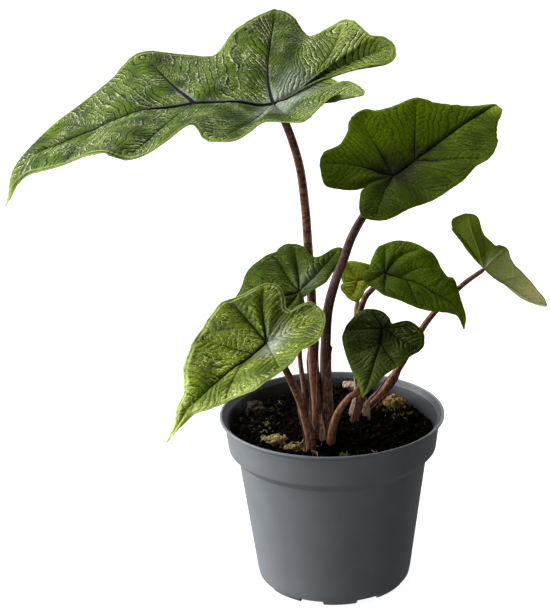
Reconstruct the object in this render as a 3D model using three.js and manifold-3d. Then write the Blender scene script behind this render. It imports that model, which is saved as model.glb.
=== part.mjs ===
import * as THREE from 'three';
import { mergeVertices } from 'three/addons/utils/BufferGeometryUtils.js';
import Module from 'manifold-3d';

// A potted alocasia with eight quilted, arrow-shaped leaves on long leaf stalks, standing in a
// ribless nursery pot of 120 mm. All lengths are millimetres, the pot stands on z = 0 and its
// axis is the z axis. The side towards -y is the front.

// Driving dimensions
const wallGap = 0.3;
const potRadius = 60;
const potHeight = 95.35;
const potSides = 48;
const footCount = 8;
const footTurn = 4.1;
const footNotchWidth = 13.4;
const footNotchHeight = 3.3;
const drainCount = 5;
const drainRadius = 3;
const drainCircle = 28;
const drainDepth = 8;
const drainSides = 12;
const footCircle = 38.5;
const footNotchDepth = 14;
const bladeThickness = 0.8;
const soilLevel = 86;
const soilTilt = 1.6;
const soilSag = 1.6;
const soilMound = 2.4;
const soilBackMound = 5;
const soilRipple = 0.8;
const soilCrumb = 1.8;
const soilRimRadius = 53.7;
const soilRimLevel = 78;
const soilRimSlope = 0.14;
const soilRings = 9;
const soilSectors = 44;
const stalkSides = 8;
const stalkStep = 9;
const stalkTaper = 1.3;
const huskThickness = 0.9;
const huskSteps = 6;
const huskSides = 8;
const huskNarrowing = 0.75;
const huskBend = 0.05;
const lumpWave = 0.1;
const marginSamples = 20;
const curveSamples = 400;
const headingSpan = 4;

const wasm = await Module();
wasm.setup();

const group = new THREE.Group();
group.name = 'potted_alocasia';

const palette = {
  pot: { colour: 0x6c7178, roughness: 0.55 },
  soil: { colour: 0x1d1712, roughness: 0.95 },
  bark: { colour: 0x9c8358, roughness: 0.9 },
  leafBright: { colour: 0x4f7a1c, roughness: 0.4 },
  leafDark: { colour: 0x2f5210, roughness: 0.5 },
  stalk: { colour: 0x4b342b, roughness: 0.6 },
  stalkPale: { colour: 0x8d8148, roughness: 0.6 },
  husk: { colour: 0xa58668, roughness: 0.85 }
};

function addMesh(name, geometry, surface) {
  const clean = geometry.clone();
  clean.deleteAttribute('normal');
  clean.deleteAttribute('uv');
  const welded = mergeVertices(clean, 1e-3);
  welded.computeVertexNormals();
  const material = new THREE.MeshStandardMaterial({
    color: surface.colour,
    roughness: surface.roughness,
    metalness: 0
  });
  material.name = `${name}_material`;
  const mesh = new THREE.Mesh(welded, material);
  mesh.name = name;
  group.add(mesh);
  return mesh;
}

function toSolid(geometry) {
  const clean = geometry.clone();
  clean.deleteAttribute('normal');
  clean.deleteAttribute('uv');
  const welded = mergeVertices(clean, 1e-3);
  const vertProperties = new Float32Array(welded.attributes.position.array);
  const triVerts = new Uint32Array(welded.index.array);
  return new wasm.Manifold(new wasm.Mesh({ numProp: 3, vertProperties, triVerts }));
}

function fromSolid(solid) {
  const mesh = solid.getMesh();
  const geometry = new THREE.BufferGeometry();
  geometry.setAttribute('position', new THREE.Float32BufferAttribute(mesh.vertProperties, 3));
  geometry.setIndex(Array.from(mesh.triVerts));
  return geometry;
}

function smoothCurve(points) {
  const vectors = points.map((p) => new THREE.Vector3(p[0], p[1], p[2] || 0));
  return new THREE.CatmullRomCurve3(vectors, false, 'catmullrom', 0.5);
}

function mix(from, to, share) {
  return from + (to - from) * share;
}

// Repeatable scatter between 0 and 1 for a pair of whole numbers
function scatter(i, j) {
  const value = Math.sin(i * 127.1 + j * 311.7) * 43758.5453;
  return value - Math.floor(value);
}

// Leaf blades
// Every leaf is written flat, as it would lie pressed: along is the distance from the stalk's
// joint towards the tip, across is positive on the left of the tip's direction, and the third
// number lifts the margin where it waves. The midrib line and the two slopes per station, in
// degrees, say how the blade hangs in space. A vein is margin point number, where it leaves
// the midrib, and how far it bows towards the tip.

const leaves = {
  leaf_1: {
    surface: palette.leafBright,
    joint: [-26, -8, 265],
    midrib: [
      [61, -11, 20], [30, -5, 9], [0, 0, 0], [-17, 3, 0], [-38, 7, 0], [-54, 10, -3],
      [-69, 12, -5], [-85, 15, -11], [-101, 18, -18], [-118, 21, -26], [-129, 23, -33],
      [-137, 24, -43], [-145, 25, -60]
    ],
    jointPlace: 2,
    headingSpan: 20,
    slopes: [[-60, -12, 40], [0, -8, 36], [80, -10, 36], [120, -18, 28], [165, -28, 15]],
    left: [
      [-30, -8, 0], [-42, 8, 4], [-52, 26, 4], [-51, 35, 5], [-39, 27, 6], [-33, 42, 8],
      [-27, 59, 9], [-15, 53, 9], [-5, 48, 9], [2, 50, 6], [10, 52, 2], [18, 49, 0],
      [25, 46, 0], [33, 38, 4], [43, 48, 1], [53, 53, -1], [68, 52, -4], [78, 49, 1],
      [94, 36, 1], [111, 27, 0], [124, 21, 0], [148, 7, 0], [157, 4, 0], [166, 0, 0]
    ],
    right: [
      [-30, -8, 0], [-43, -11, -4], [-61, -8, -4], [-65, -16, -3], [-61, -22, 0],
      [-54, -25, 2], [-47, -37, 2], [-40, -43, 0], [-30, -44, -3], [-18, -47, -6],
      [-10, -60.5, -1], [2, -65.4, 1.5], [15, -62.3, 1.5], [28, -51, 0], [36, -40, -6],
      [42, -38, -6], [49, -40, -5], [60, -41, -2], [72, -40, 2], [87, -35, -2],
      [104, -29, -2], [124, -20, 0], [136, -15, 0], [147, -11.5, 0], [157, -8, 0],
      [166, 0, 0]
    ],
    leftVeins: [[3, 0, 0], [6, 0, 0], [11, 0, 0], [16, 42, 0], [19, 95, 0]],
    rightVeins: [[3, 0, 5], [7, 0, -8], [11, 0, 5], [18, 41, 1], [21, 95, 0]],
    quilt: 2.2,
    step: 6,
    rings: 4
  },
  leaf_2: {
    surface: palette.leafDark,
    joint: [34, 18, 220],
    midrib: [
      [-28, -28, -4], [-14, -14, 0], [0, 0, 0], [10, 10, 4], [25, 25, 11], [39, 39, 17],
      [50, 50, 21], [57, 57, 23], [60, 60, 21], [61, 61, 15]
    ],
    jointPlace: 2,
    slopes: [[-40, 40, -20], [0, 45, -15], [80, 45, -15]],
    left: [
      [-23, -2], [-29, 0], [-35, 4], [-41, 11], [-34, 22], [-28, 26], [-19, 26], [-11, 32],
      [-4, 38], [14, 39], [22, 34], [34, 30], [47, 27], [55, 18], [70, 7], [82, 2], [87, 1],
      [95, 0]
    ],
    right: [
      [-23, -2], [-29, -4], [-41, -15], [-39, -23], [-31, -28], [-13, -29], [6, -29],
      [21, -30], [34, -28], [44, -29], [56, -25], [63, -19], [73, -12], [95, 0]
    ],
    leftVeins: [[4, 0, 0], [9, 0, -2], [12, 17, 0]],
    rightVeins: [[3, 0, 0], [6, 0, 0], [9, 17, 0]],
    quilt: 1.6,
    step: 6,
    rings: 4
  },
  leaf_3: {
    surface: palette.leafBright,
    joint: [-31, -72, 161.5],
    midrib: [
      [26, 18, 14], [12, 9, 8], [0, 0, 0], [-10, -7, -6], [-18, -12, -10], [-26, -18, -15],
      [-32, -23, -20], [-38, -26, -25], [-42, -30, -30], [-47, -33, -36]
    ],
    jointPlace: 2,
    slopes: [[-40, 5, 30], [0, 5, 30], [80, 0, 30]],
    left: [
      [-20, -8], [-21, -5], [-26, -5], [-32, -3], [-32, 5], [-28, 16], [-21, 25], [-12, 30],
      [-6, 28], [-3, 26], [4, 29], [11, 29], [25, 28], [40, 16], [45, 12], [53, 5], [60, 2],
      [70, 0]
    ],
    right: [
      [-20, -8], [-23, -13], [-25, -19], [-24, -23], [-21, -26], [-17, -27], [-12, -28],
      [-6, -31], [0, -33], [15, -30], [24, -26], [30, -22], [36, -18], [42, -12], [51, -7],
      [59, -3], [70, 0]
    ],
    leftVeins: [[5, 0, 0], [11, 0, 0], [13, 14, 0]],
    rightVeins: [[4, 0, 0], [7, 0, 0], [10, 8, 0]],
    quilt: 1.8,
    step: 5,
    rings: 4
  },
  leaf_4: {
    surface: palette.leafDark,
    joint: [-15.5, -18, 169.5],
    midrib: [
      [37, 7, 20], [18, 3, 10], [0, 0, 0], [-10, -2, -2], [-21, -4, -7], [-31, -5, -12],
      [-39, -7, -18], [-45, -8, -25]
    ],
    jointPlace: 2,
    slopes: [[-40, -22, 30], [0, -25, 30], [80, -20, 30]],
    left: [[0, 5], [2, 10], [8, 13], [13, 13], [25, 14], [39, 9], [48, 5], [53, 0]],
    right: [
      [0, 5], [-6, 4], [-14, 4], [-19, 1], [-26, -3], [-30, -8], [-30, -11], [-26, -13],
      [-19, -13], [-15, -16], [-14, -24], [-10, -30], [-4, -33], [8, -30], [12, -28],
      [18, -26], [25, -21], [31, -14], [40, -6], [53, 0]
    ],
    leftVeins: [[3, 0, 0], [5, 12, 0]],
    rightVeins: [[6, 0, 0], [11, 0, 0], [13, 0, 0], [16, 12, 0]],
    quilt: 1.2,
    step: 5,
    rings: 3
  },
  leaf_5: {
    surface: palette.leafDark,
    joint: [29.5, 4, 171],
    midrib: [
      [-19, 11, 6], [-9, 5, 3], [0, 0, 0], [14, -8, -2], [28, -16, -8], [35, -20, -13],
      [38, -22, -17], [39, -23, -22]
    ],
    jointPlace: 2,
    slopes: [[-40, 30, 0], [0, 30, 0], [80, 25, -5]],
    left: [
      [-6, -4], [-9, -1], [-11, 3], [-12, 7], [-13, 13], [-11, 17], [-6, 23], [4, 25],
      [12, 23], [17, 21], [23, 16], [29, 13], [32, 14], [39, 8], [45, 4], [55, 0]
    ],
    right: [
      [-6, -4], [-9, -6], [-7, -13], [-2, -19], [4, -21], [13, -26], [21, -24], [31, -21],
      [38, -14], [45, -4], [49, -2], [55, 0]
    ],
    leftVeins: [[5, 0, 0], [8, 0, -5], [10, 8, -2]],
    rightVeins: [[3, 0, 0], [5, 0, 0], [7, 12, 0]],
    quilt: 1.2,
    step: 4.5,
    rings: 3
  },
  leaf_6: {
    surface: palette.leafDark,
    joint: [27.5, -8, 145],
    midrib: [
      [4, 15, 8], [2, 8, 5], [0, 0, 0], [-2, -7, -7], [-6, -22, -13], [-9, -35, -17],
      [-12, -44, -21]
    ],
    jointPlace: 2,
    slopes: [[-40, 6, 6], [80, 6, 6]],
    left: [
      [-3, 5], [-4, 9], [-5, 12], [-4, 15], [-2, 18], [3, 23], [12, 23], [18, 18], [26, 13],
      [33, 8], [44, 3], [51, 0]
    ],
    right: [
      [-3, 5], [-4, 3.5], [-7, 2], [-11, -2], [-12, -8], [-10, -13], [-4, -17], [3, -20],
      [10, -20], [22, -15], [34, -9], [45, -3], [51, 0]
    ],
    leftVeins: [[4, 0, 0], [6, 0, 0], [8, 8, 0]],
    rightVeins: [[4, 0, 0], [7, 0, 0], [9, 8, 0]],
    quilt: 1.1,
    step: 4.5,
    rings: 3
  },
  leaf_7: {
    surface: palette.leafDark,
    joint: [83, 28, 165],
    midrib: [
      [-20, 3, 22], [-10, 1, 11], [0, 0, 0], [8, -1, -6], [17, -2, -12], [25, -3, -16.5],
      [32, -5, -18.5]
    ],
    jointPlace: 2,
    slopes: [[-30, -12, 60], [-6, -8, 60], [0, -4, 65], [10, -8, 65], [20, -22, 65], [40, -35, 65]],
    left: [
      [-5, 0], [-12, 5], [-20, 9], [-26, 16], [-24, 22], [-14, 20], [-4, 18], [6, 17],
      [14, 12], [22, 11], [30, 11], [36, 8], [39, 4], [39, 0]
    ],
    right: [
      [-5, 0], [-12, -1.5], [-23, -3], [-28, -3.5], [-32, -7], [-32, -14], [-30, -20],
      [-27, -23], [-24, -23], [-19, -19], [-15, -17], [-10, -17], [-8, -17.5], [-7, -20],
      [-3, -21], [4, -19], [10, -15], [18, -13], [26, -10], [35, -6], [39, 0]
    ],
    leftVeins: [[4, 0, 0], [7, 0, 0], [9, 10, 0]],
    rightVeins: [[6, 0, 0], [14, 0, 0], [17, 10, 0]],
    quilt: 0.8,
    step: 4.5,
    rings: 3
  },
  leaf_8: {
    surface: palette.leafDark,
    joint: [15, 34, 157.5],
    midrib: [
      [-11, -5, 2], [-5, -3, 1], [0, 0, 0], [6, 3, 0], [12, 6, 0], [19, 9, 1], [25, 12, 2]
    ],
    jointPlace: 2,
    slopes: [[-40, 40, -35], [40, 40, -35]],
    left: [
      [-9, -2], [-9.5, 2], [-9, 7], [-3, 12], [2, 13], [7, 11], [11, 9], [17, 6], [28, 0]
    ],
    right: [
      [-9, -2], [-10, -2.3], [-11, -3.5], [-11, -6], [-9.5, -9], [-8, -12], [-6, -14], [-5, -14],
      [-1, -10], [3, -6], [11, -3], [28, 0]
    ],
    leftVeins: [[3, 0, 0], [6, 6, 0]],
    rightVeins: [[5, 0, 0], [9, 6, 0]],
    quilt: 0.6,
    step: 4.5,
    rings: 2
  }
};

// Places a flat leaf point in space
function leafPlacer(leaf) {
  const joint = new THREE.Vector3(...leaf.joint);
  const curve = smoothCurve(leaf.midrib);
  const points = [];
  for (let i = 0; i <= curveSamples; i += 1) {
    points.push(curve.getPoint(i / curveSamples).add(joint));
  }
  const along = [0];
  for (let i = 1; i <= curveSamples; i += 1) {
    along.push(along[i - 1] + points[i].distanceTo(points[i - 1]));
  }
  const jointShare = leaf.jointPlace / (leaf.midrib.length - 1);
  const jointAlong = along[Math.round(jointShare * curveSamples)];

  function slopeAt(a, column) {
    const rows = leaf.slopes;
    if (a <= rows[0][0]) {
      return rows[0][column];
    }
    for (let i = 1; i < rows.length; i += 1) {
      if (a <= rows[i][0]) {
        const share = (a - rows[i - 1][0]) / (rows[i][0] - rows[i - 1][0]);
        return mix(rows[i - 1][column], rows[i][column], share);
      }
    }
    return rows[rows.length - 1][column];
  }

  function frameAt(a) {
    const target = a + jointAlong;
    let i = 1;
    while (i < curveSamples && along[i] < target) {
      i += 1;
    }
    const share = (target - along[i - 1]) / (along[i] - along[i - 1]);
    const origin = points[i - 1].clone().lerp(points[i], share);
    const span = leaf.headingSpan ?? headingSpan;
    const before = points[Math.max(i - span, 0)];
    const after = points[Math.min(i + span - 1, curveSamples)];
    const heading = after.clone().sub(before).normalize();
    const side = new THREE.Vector3(0, 0, 1).cross(heading).normalize();
    const up = heading.clone().cross(side);
    return { origin, heading, side, up };
  }

  function place(a, c, h) {
    const frame = frameAt(a);
    const turn = c >= 0 ? 1 : -1;
    const angle = THREE.MathUtils.degToRad(slopeAt(a, c >= 0 ? 1 : 2));
    const outward = frame.side.clone().multiplyScalar(turn * Math.cos(angle));
    outward.addScaledVector(frame.up, Math.sin(angle));
    const lift = frame.up.clone().multiplyScalar(Math.cos(angle));
    lift.addScaledVector(frame.side, -turn * Math.sin(angle));
    const point = frame.origin.clone().addScaledVector(outward, Math.abs(c));
    return point.addScaledVector(lift, h);
  }

  return { place, frameAt };
}

// One half of a leaf, as a function of the vein count passed and the share of the way outward
function leafHalf(leaf, key) {
  const outline = leaf[key];
  const last = outline.length - 1;
  const margin = smoothCurve(outline);
  const marks = [[0, 0, 0], ...leaf[`${key}Veins`], [last, outline[last][0], 0]];

  function markAt(s, column) {
    const i = Math.min(Math.floor(s), marks.length - 2);
    return mix(marks[i][column], marks[i + 1][column], s - i);
  }

  function flatAt(s, r) {
    const edge = margin.getPoint(markAt(s, 0) / last);
    const foot = markAt(s, 1);
    const da = edge.x - foot;
    const dc = edge.y;
    const length = Math.hypot(da, dc) || 1;
    const bow = markAt(s, 2) * 4 * r * (1 - r);
    const turn = dc >= 0 ? 1 : -1;
    const passed = s - Math.min(Math.floor(s), marks.length - 2);
    const swell = leaf.quilt * Math.sin(Math.PI * passed) ** 2 * (4 * r * (1 - r)) ** 0.75;
    return [
      foot + da * r + bow * turn * dc / length,
      dc * r - bow * turn * da / length,
      edge.z * r * r + swell
    ];
  }

  function fanStations() {
    const list = [];
    for (let i = 0; i + 1 < marks.length && marks[i + 1][1] === 0; i += 1) {
      let length = 0;
      for (let k = 0; k < marginSamples; k += 1) {
        const near = mix(marks[i][0], marks[i + 1][0], k / marginSamples);
        const far = mix(marks[i][0], marks[i + 1][0], (k + 1) / marginSamples);
        const from = margin.getPoint(near / last);
        const to = margin.getPoint(far / last);
        length += from.distanceTo(to);
      }
      const count = Math.max(2, Math.round(length / leaf.step));
      for (let k = 0; k < count; k += 1) {
        list.push(i + k / count);
      }
      if (i + 2 >= marks.length || marks[i + 2][1] > 0) {
        list.push(i + 1);
      }
    }
    return list;
  }

  function stationOfFoot(foot) {
    for (let i = 0; i + 1 < marks.length; i += 1) {
      if (marks[i + 1][1] > marks[i][1] && foot <= marks[i + 1][1] + 1e-6) {
        return i + (foot - marks[i][1]) / (marks[i + 1][1] - marks[i][1]);
      }
    }
    return marks.length - 1;
  }

  return { flatAt, fanStations, stationOfFoot };
}

function leafSheet(leaf) {
  const { place } = leafPlacer(leaf);
  const tip = leaf.left[leaf.left.length - 1][0];
  const feet = new Set([0, tip]);
  for (const vein of [...leaf.leftVeins, ...leaf.rightVeins]) {
    feet.add(vein[1]);
  }
  const fixed = [...feet].sort((a, b) => a - b);
  const stations = [];
  for (let i = 1; i < fixed.length; i += 1) {
    const count = Math.max(1, Math.round((fixed[i] - fixed[i - 1]) / leaf.step));
    for (let k = 1; k <= count; k += 1) {
      stations.push(mix(fixed[i - 1], fixed[i], k / count));
    }
  }
  const positions = [];
  const triangles = [];
  for (const key of ['left', 'right']) {
    const half = leafHalf(leaf, key);
    const rows = [...half.fanStations(), ...stations.map(half.stationOfFoot)];
    const start = positions.length / 3;
    for (const s of rows) {
      for (let ring = 0; ring <= leaf.rings; ring += 1) {
        const point = place(...half.flatAt(s, ring / leaf.rings));
        positions.push(point.x, point.y, point.z);
      }
    }
    const width = leaf.rings + 1;
    for (let i = 0; i + 1 < rows.length; i += 1) {
      for (let ring = 0; ring < leaf.rings; ring += 1) {
        const a = start + i * width + ring;
        const b = a + width;
        const quads = key === 'left' ? [a, b, b + 1, a, b + 1, a + 1] : [a, b + 1, b, a, a + 1, b + 1];
        triangles.push(...quads);
      }
    }
  }
  const sheet = new THREE.BufferGeometry();
  sheet.setAttribute('position', new THREE.Float32BufferAttribute(positions, 3));
  sheet.setIndex(triangles);
  const welded = mergeVertices(sheet, 1e-3);
  const kept = [];
  const index = welded.index.array;
  for (let i = 0; i < index.length; i += 3) {
    const [a, b, c] = [index[i], index[i + 1], index[i + 2]];
    if (a !== b && b !== c && c !== a) {
      kept.push(a, b, c);
    }
  }
  welded.setIndex(kept);
  welded.computeVertexNormals();
  return welded;
}

// Gives a sheet its thickness, with the same triangles on both faces
function thicken(sheet, thickness) {
  const position = sheet.attributes.position;
  const normal = sheet.attributes.normal;
  const count = position.count;
  const out = [];
  for (const turn of [0.5, -0.5]) {
    for (let i = 0; i < count; i += 1) {
      out.push(position.getX(i) + normal.getX(i) * turn * thickness);
      out.push(position.getY(i) + normal.getY(i) * turn * thickness);
      out.push(position.getZ(i) + normal.getZ(i) * turn * thickness);
    }
  }
  const index = sheet.index.array;
  const used = new Set();
  for (let i = 0; i < index.length; i += 3) {
    for (let k = 0; k < 3; k += 1) {
      used.add(`${index[i + k]}_${index[i + (k + 1) % 3]}`);
    }
  }
  const triangles = [];
  for (let i = 0; i < index.length; i += 3) {
    const [a, b, c] = [index[i], index[i + 1], index[i + 2]];
    triangles.push(a, b, c, a + count, c + count, b + count);
    for (const [from, to] of [[a, b], [b, c], [c, a]]) {
      if (!used.has(`${to}_${from}`)) {
        triangles.push(from, from + count, to + count, from, to + count, to);
      }
    }
  }
  const solid = new THREE.BufferGeometry();
  solid.setAttribute('position', new THREE.Float32BufferAttribute(out, 3));
  solid.setIndex(triangles);
  return solid;
}

for (const [name, leaf] of Object.entries(leaves)) {
  addMesh(name, thicken(leafSheet(leaf), bladeThickness), leaf.surface);
}

// Leaf stalks
// Each stalk rises from a hole in the soil to the underside of its blade.

const stalks = {
  petiole_1: {
    surface: palette.stalk,
    leaf: 'leaf_1',
    path: [
      [-8, -19, 64], [-8, -18, 87], [-8.5, -16, 113], [-9.5, -12, 130], [-9.5, 2, 158],
      [-11, 8.5, 188], [-12, 8, 207], [-14.5, 3, 231], [-20.5, -5, 254]
    ],
    radii: [2.7, 2],
    seat: 1.1
  },
  petiole_2: {
    surface: palette.stalk,
    leaf: 'leaf_2',
    path: [
      [-2.5, -12, 64], [-2.5, -12.5, 93], [-2.5, -14, 108], [-3, -15.5, 125], [-2.5, -17.5, 140.5],
      [-1, -18.5, 159.5], [3.5, -18.5, 176.5], [7.5, -16, 186], [11.5, -11, 195.5],
      [17.5, -1.5, 203.5], [26, 10, 211]
    ],
    radii: [3, 1.9],
    seat: 2.5
  },
  petiole_3: {
    surface: palette.stalk,
    leaf: 'leaf_3',
    path: [
      [-11.5, -29, 64], [-11.5, -30, 90], [-13.5, -33, 104], [-15.5, -37, 115], [-18.5, -43, 126],
      [-22.5, -53, 140], [-26.5, -63, 152.5]
    ],
    radii: [2.5, 1.5],
    seat: 1.2
  },
  petiole_4: {
    surface: palette.stalk,
    leaf: 'leaf_4',
    path: [
      [-14, -21, 64], [-12.5, -22, 94], [-14, -23, 116], [-16, -22, 136], [-15.5, -20, 155],
      [-14, -18.5, 163]
    ],
    radii: [1.5, 1.1],
    seat: 1.4
  },
  petiole_5: {
    surface: palette.stalk,
    leaf: 'leaf_5',
    path: [
      [10, 7, 64], [12, 9, 88], [15.5, 13, 102], [15, 15, 119], [14, 14, 137], [16, 12, 148],
      [19, 9, 157], [22.5, 6.5, 162]
    ],
    radii: [2.7, 1.3],
    seat: 1.3
  },
  petiole_6: {
    surface: palette.stalk,
    leaf: 'leaf_6',
    path: [
      [-1, -22, 64], [-0.5, -23, 89], [2.5, -27, 104], [8.5, -33, 116], [13.5, -33, 120.5],
      [18, -25, 128],
      [23, -14, 136]
    ],
    radii: [2.2, 1.2],
    seat: 1.9
  },
  petiole_7: {
    surface: palette.stalk,
    leaf: 'leaf_7',
    path: [
      [16, 17, 64], [18, 18.5, 86], [23, 21, 92.5], [29, 23, 98.5], [38, 25, 112],
      [53, 27, 137], [70, 28, 155]
    ],
    radii: [2.4, 1.2],
    seat: 0.9
  },
  petiole_8: {
    surface: palette.stalkPale,
    leaf: 'leaf_8',
    path: [[11, 25, 64], [14, 26, 92], [14, 30, 114], [14, 33, 138], [15, 34, 147]],
    radii: [1.8, 1.1],
    seat: 1.5
  }
};

// A round bar along a curve that narrows from its foot to its top
function taperedBar(path, radii, growth) {
  const curve = smoothCurve(path);
  const length = curve.getLength();
  const steps = Math.max(4, Math.round(length / stalkStep));
  const widest = radii[0] + growth;
  const shape = new THREE.Shape();
  for (let i = 0; i < stalkSides; i += 1) {
    const angle = 2 * Math.PI * i / stalkSides;
    const corner = [widest * Math.cos(angle), widest * Math.sin(angle)];
    if (i === 0) {
      shape.moveTo(...corner);
    } else {
      shape.lineTo(...corner);
    }
  }
  shape.closePath();
  const geometry = new THREE.ExtrudeGeometry(shape, { steps, extrudePath: curve, bevelEnabled: false });
  const centres = [];
  for (let i = 0; i <= steps; i += 1) {
    centres.push(curve.getPointAt(i / steps));
  }
  const position = geometry.attributes.position;
  const point = new THREE.Vector3();
  for (let i = 0; i < position.count; i += 1) {
    point.fromBufferAttribute(position, i);
    let best = 0;
    for (let k = 1; k <= steps; k += 1) {
      if (point.distanceTo(centres[k]) < point.distanceTo(centres[best])) {
        best = k;
      }
    }
    const radius = mix(radii[0], radii[1], (best / steps) ** stalkTaper) + growth;
    point.sub(centres[best]).multiplyScalar(radius / widest).add(centres[best]);
    position.setXYZ(i, point.x, point.y, point.z);
  }
  return geometry;
}

const soilCuts = [];
for (const [name, stalk] of Object.entries(stalks)) {
  const leaf = leaves[stalk.leaf];
  const frame = leafPlacer(leaf).frameAt(0);
  const top = new THREE.Vector3(...leaf.joint).addScaledVector(frame.up, -stalk.seat);
  const path = [...stalk.path, [top.x, top.y, top.z]];
  addMesh(name, taperedBar(path, stalk.radii, 0), stalk.surface);
  const [x, y, z] = stalk.path[0];
  const lower = [[x, y, z - wallGap], ...stalk.path.slice(1, 4)];
  const hole = taperedBar(lower, [stalk.radii[0], stalk.radii[0]], wallGap);
  soilCuts.push(toSolid(hole));
}

// Dry papery sheaths left standing at the feet of the two shoots
function huskStrip(path, width, thickness, growth) {
  const [x, y, z] = path[0];
  const curve = smoothCurve([[x, y, z - growth], ...path.slice(1)]);
  const shape = new THREE.Shape();
  for (let i = 0; i < huskSides; i += 1) {
    const angle = 2 * Math.PI * i / huskSides;
    const across = (width / 2 + growth) * Math.cos(angle);
    const through = (thickness / 2 + growth) * Math.sin(angle);
    if (i === 0) {
      shape.moveTo(across, through);
    } else {
      shape.lineTo(across, through);
    }
  }
  shape.closePath();
  const settings = { depth: 1, steps: huskSteps, bevelEnabled: false };
  const geometry = new THREE.ExtrudeGeometry(shape, settings);
  const position = geometry.attributes.position;
  for (let i = 0; i < position.count; i += 1) {
    const share = position.getZ(i);
    const centre = curve.getPoint(share);
    const across = position.getX(i) * (1 - huskNarrowing * share ** 3);
    const bend = huskBend * across * across;
    position.setXYZ(i, centre.x + across, centre.y + position.getY(i) + bend, centre.z);
  }
  return geometry;
}

const husks = {
  dry_sheath_1: { path: [[-4.7, -21.8, 76], [-4.8, -21.8, 88], [-6, -22, 107]], width: 3.4 },
  dry_sheath_2: { path: [[18, 7.5, 76], [18.5, 8, 88], [19.5, 9, 102]], width: 4.6 }
};

for (const [name, husk] of Object.entries(husks)) {
  addMesh(name, huskStrip(husk.path, husk.width, huskThickness, 0), palette.husk);
  soilCuts.push(toSolid(huskStrip(husk.path, husk.width, huskThickness, wallGap)));
}

// Lumps of bark and moss half sunk in the soil
function lump(centre, radii, seed, growth) {
  const geometry = new THREE.IcosahedronGeometry(1, 1);
  const position = geometry.attributes.position;
  const point = new THREE.Vector3();
  for (let i = 0; i < position.count; i += 1) {
    point.fromBufferAttribute(position, i);
    const wave = Math.sin(point.x * 4.1 + seed) * Math.sin(point.y * 3.3 + seed * 2) + Math.sin(point.z * 5 + seed);
    const size = 1 + lumpWave * wave;
    position.setXYZ(
      i,
      centre[0] + point.x * (radii[0] * size + growth),
      centre[1] + point.y * (radii[1] * size + growth),
      centre[2] + point.z * (radii[2] * size + growth)
    );
  }
  return geometry;
}

const lumps = {
  bark_1: { centre: [-30, -18, 87], radii: [5.2, 3.6, 3.2], seed: 1 },
  bark_2: { centre: [-20.5, -28.5, 86.5], radii: [4.4, 3, 2.8], seed: 2 },
  bark_3: { centre: [35, 32, 87], radii: [6, 4.6, 4.2], seed: 3 },
  bark_4: { centre: [10, 43, 92.5], radii: [4, 3, 2.6], seed: 4 },
  bark_5: { centre: [-42, 22, 88.5], radii: [5.6, 4.6, 4.6], seed: 5 }
};

for (const [name, item] of Object.entries(lumps)) {
  addMesh(name, lump(item.centre, item.radii, item.seed, 0), palette.bark);
  soilCuts.push(toSolid(lump(item.centre, item.radii, item.seed, wallGap)));
}

// Soil
const soilWall = [[38.6, 4.8], [40.35, 7.2], [48.85, 72.6], [53.65, soilRimLevel]];

function soilHeight(x, y) {
  const reach = Math.hypot(x, y) / potRadius;
  const tilt = soilTilt * (y - x * 0.6) / potRadius;
  const mound = soilMound * Math.exp(-((x + 4) ** 2 + (y + 2) ** 2) / 500);
  const back = soilBackMound * Math.exp(-((x - 8) ** 2 + (y - 44) ** 2) / 220);
  const ripple = Math.sin(x * 0.31 + 1) * Math.sin(y * 0.27 + 2) + 0.6 * Math.sin(x * 0.62 - y * 0.5);
  return soilLevel + tilt + mound + back + soilRipple * ripple - soilSag * reach * reach;
}

function soilBody() {
  const positions = [];
  const triangles = [];
  for (let ring = 0; ring <= soilRings; ring += 1) {
    for (let k = 0; k < soilSectors; k += 1) {
      const angle = 2 * Math.PI * k / soilSectors;
      const rimX = soilRimRadius * Math.cos(angle);
      const rimY = soilRimRadius * Math.sin(angle);
      const edgeHeight = soilHeight(rimX, rimY);
      const edgeRadius = soilRimRadius + soilRimSlope * (edgeHeight - soilRimLevel);
      const radius = edgeRadius * (ring + 1) / (soilRings + 1);
      const x = radius * Math.cos(angle);
      const y = radius * Math.sin(angle);
      const crumb = ring < soilRings ? soilCrumb * (scatter(ring, k) - 0.5) : 0;
      const z = ring < soilRings ? soilHeight(x, y) + crumb : edgeHeight;
      positions.push(x, y, z);
    }
  }
  for (const [radius, z] of [...soilWall].reverse()) {
    for (let k = 0; k < soilSectors; k += 1) {
      const angle = 2 * Math.PI * k / soilSectors;
      positions.push(radius * Math.cos(angle), radius * Math.sin(angle), z);
    }
  }
  const rows = soilRings + 1 + soilWall.length;
  for (let row = 0; row + 1 < rows; row += 1) {
    for (let k = 0; k < soilSectors; k += 1) {
      const next = (k + 1) % soilSectors;
      const a = row * soilSectors + k;
      const b = row * soilSectors + next;
      triangles.push(a, a + soilSectors, b, b, a + soilSectors, b + soilSectors);
    }
  }
  const top = positions.length / 3;
  positions.push(0, 0, soilHeight(0, 0));
  positions.push(0, 0, soilWall[0][1]);
  const lastRow = (rows - 1) * soilSectors;
  for (let k = 0; k < soilSectors; k += 1) {
    const next = (k + 1) % soilSectors;
    triangles.push(top, k, next);
    triangles.push(top + 1, lastRow + next, lastRow + k);
  }
  const geometry = new THREE.BufferGeometry();
  geometry.setAttribute('position', new THREE.Float32BufferAttribute(positions, 3));
  geometry.setIndex(triangles);
  return geometry;
}

let soil = toSolid(soilBody());
for (const cut of soilCuts) {
  soil = soil.subtract(cut);
}
addMesh('soil', fromSolid(soil), palette.soil);

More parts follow.
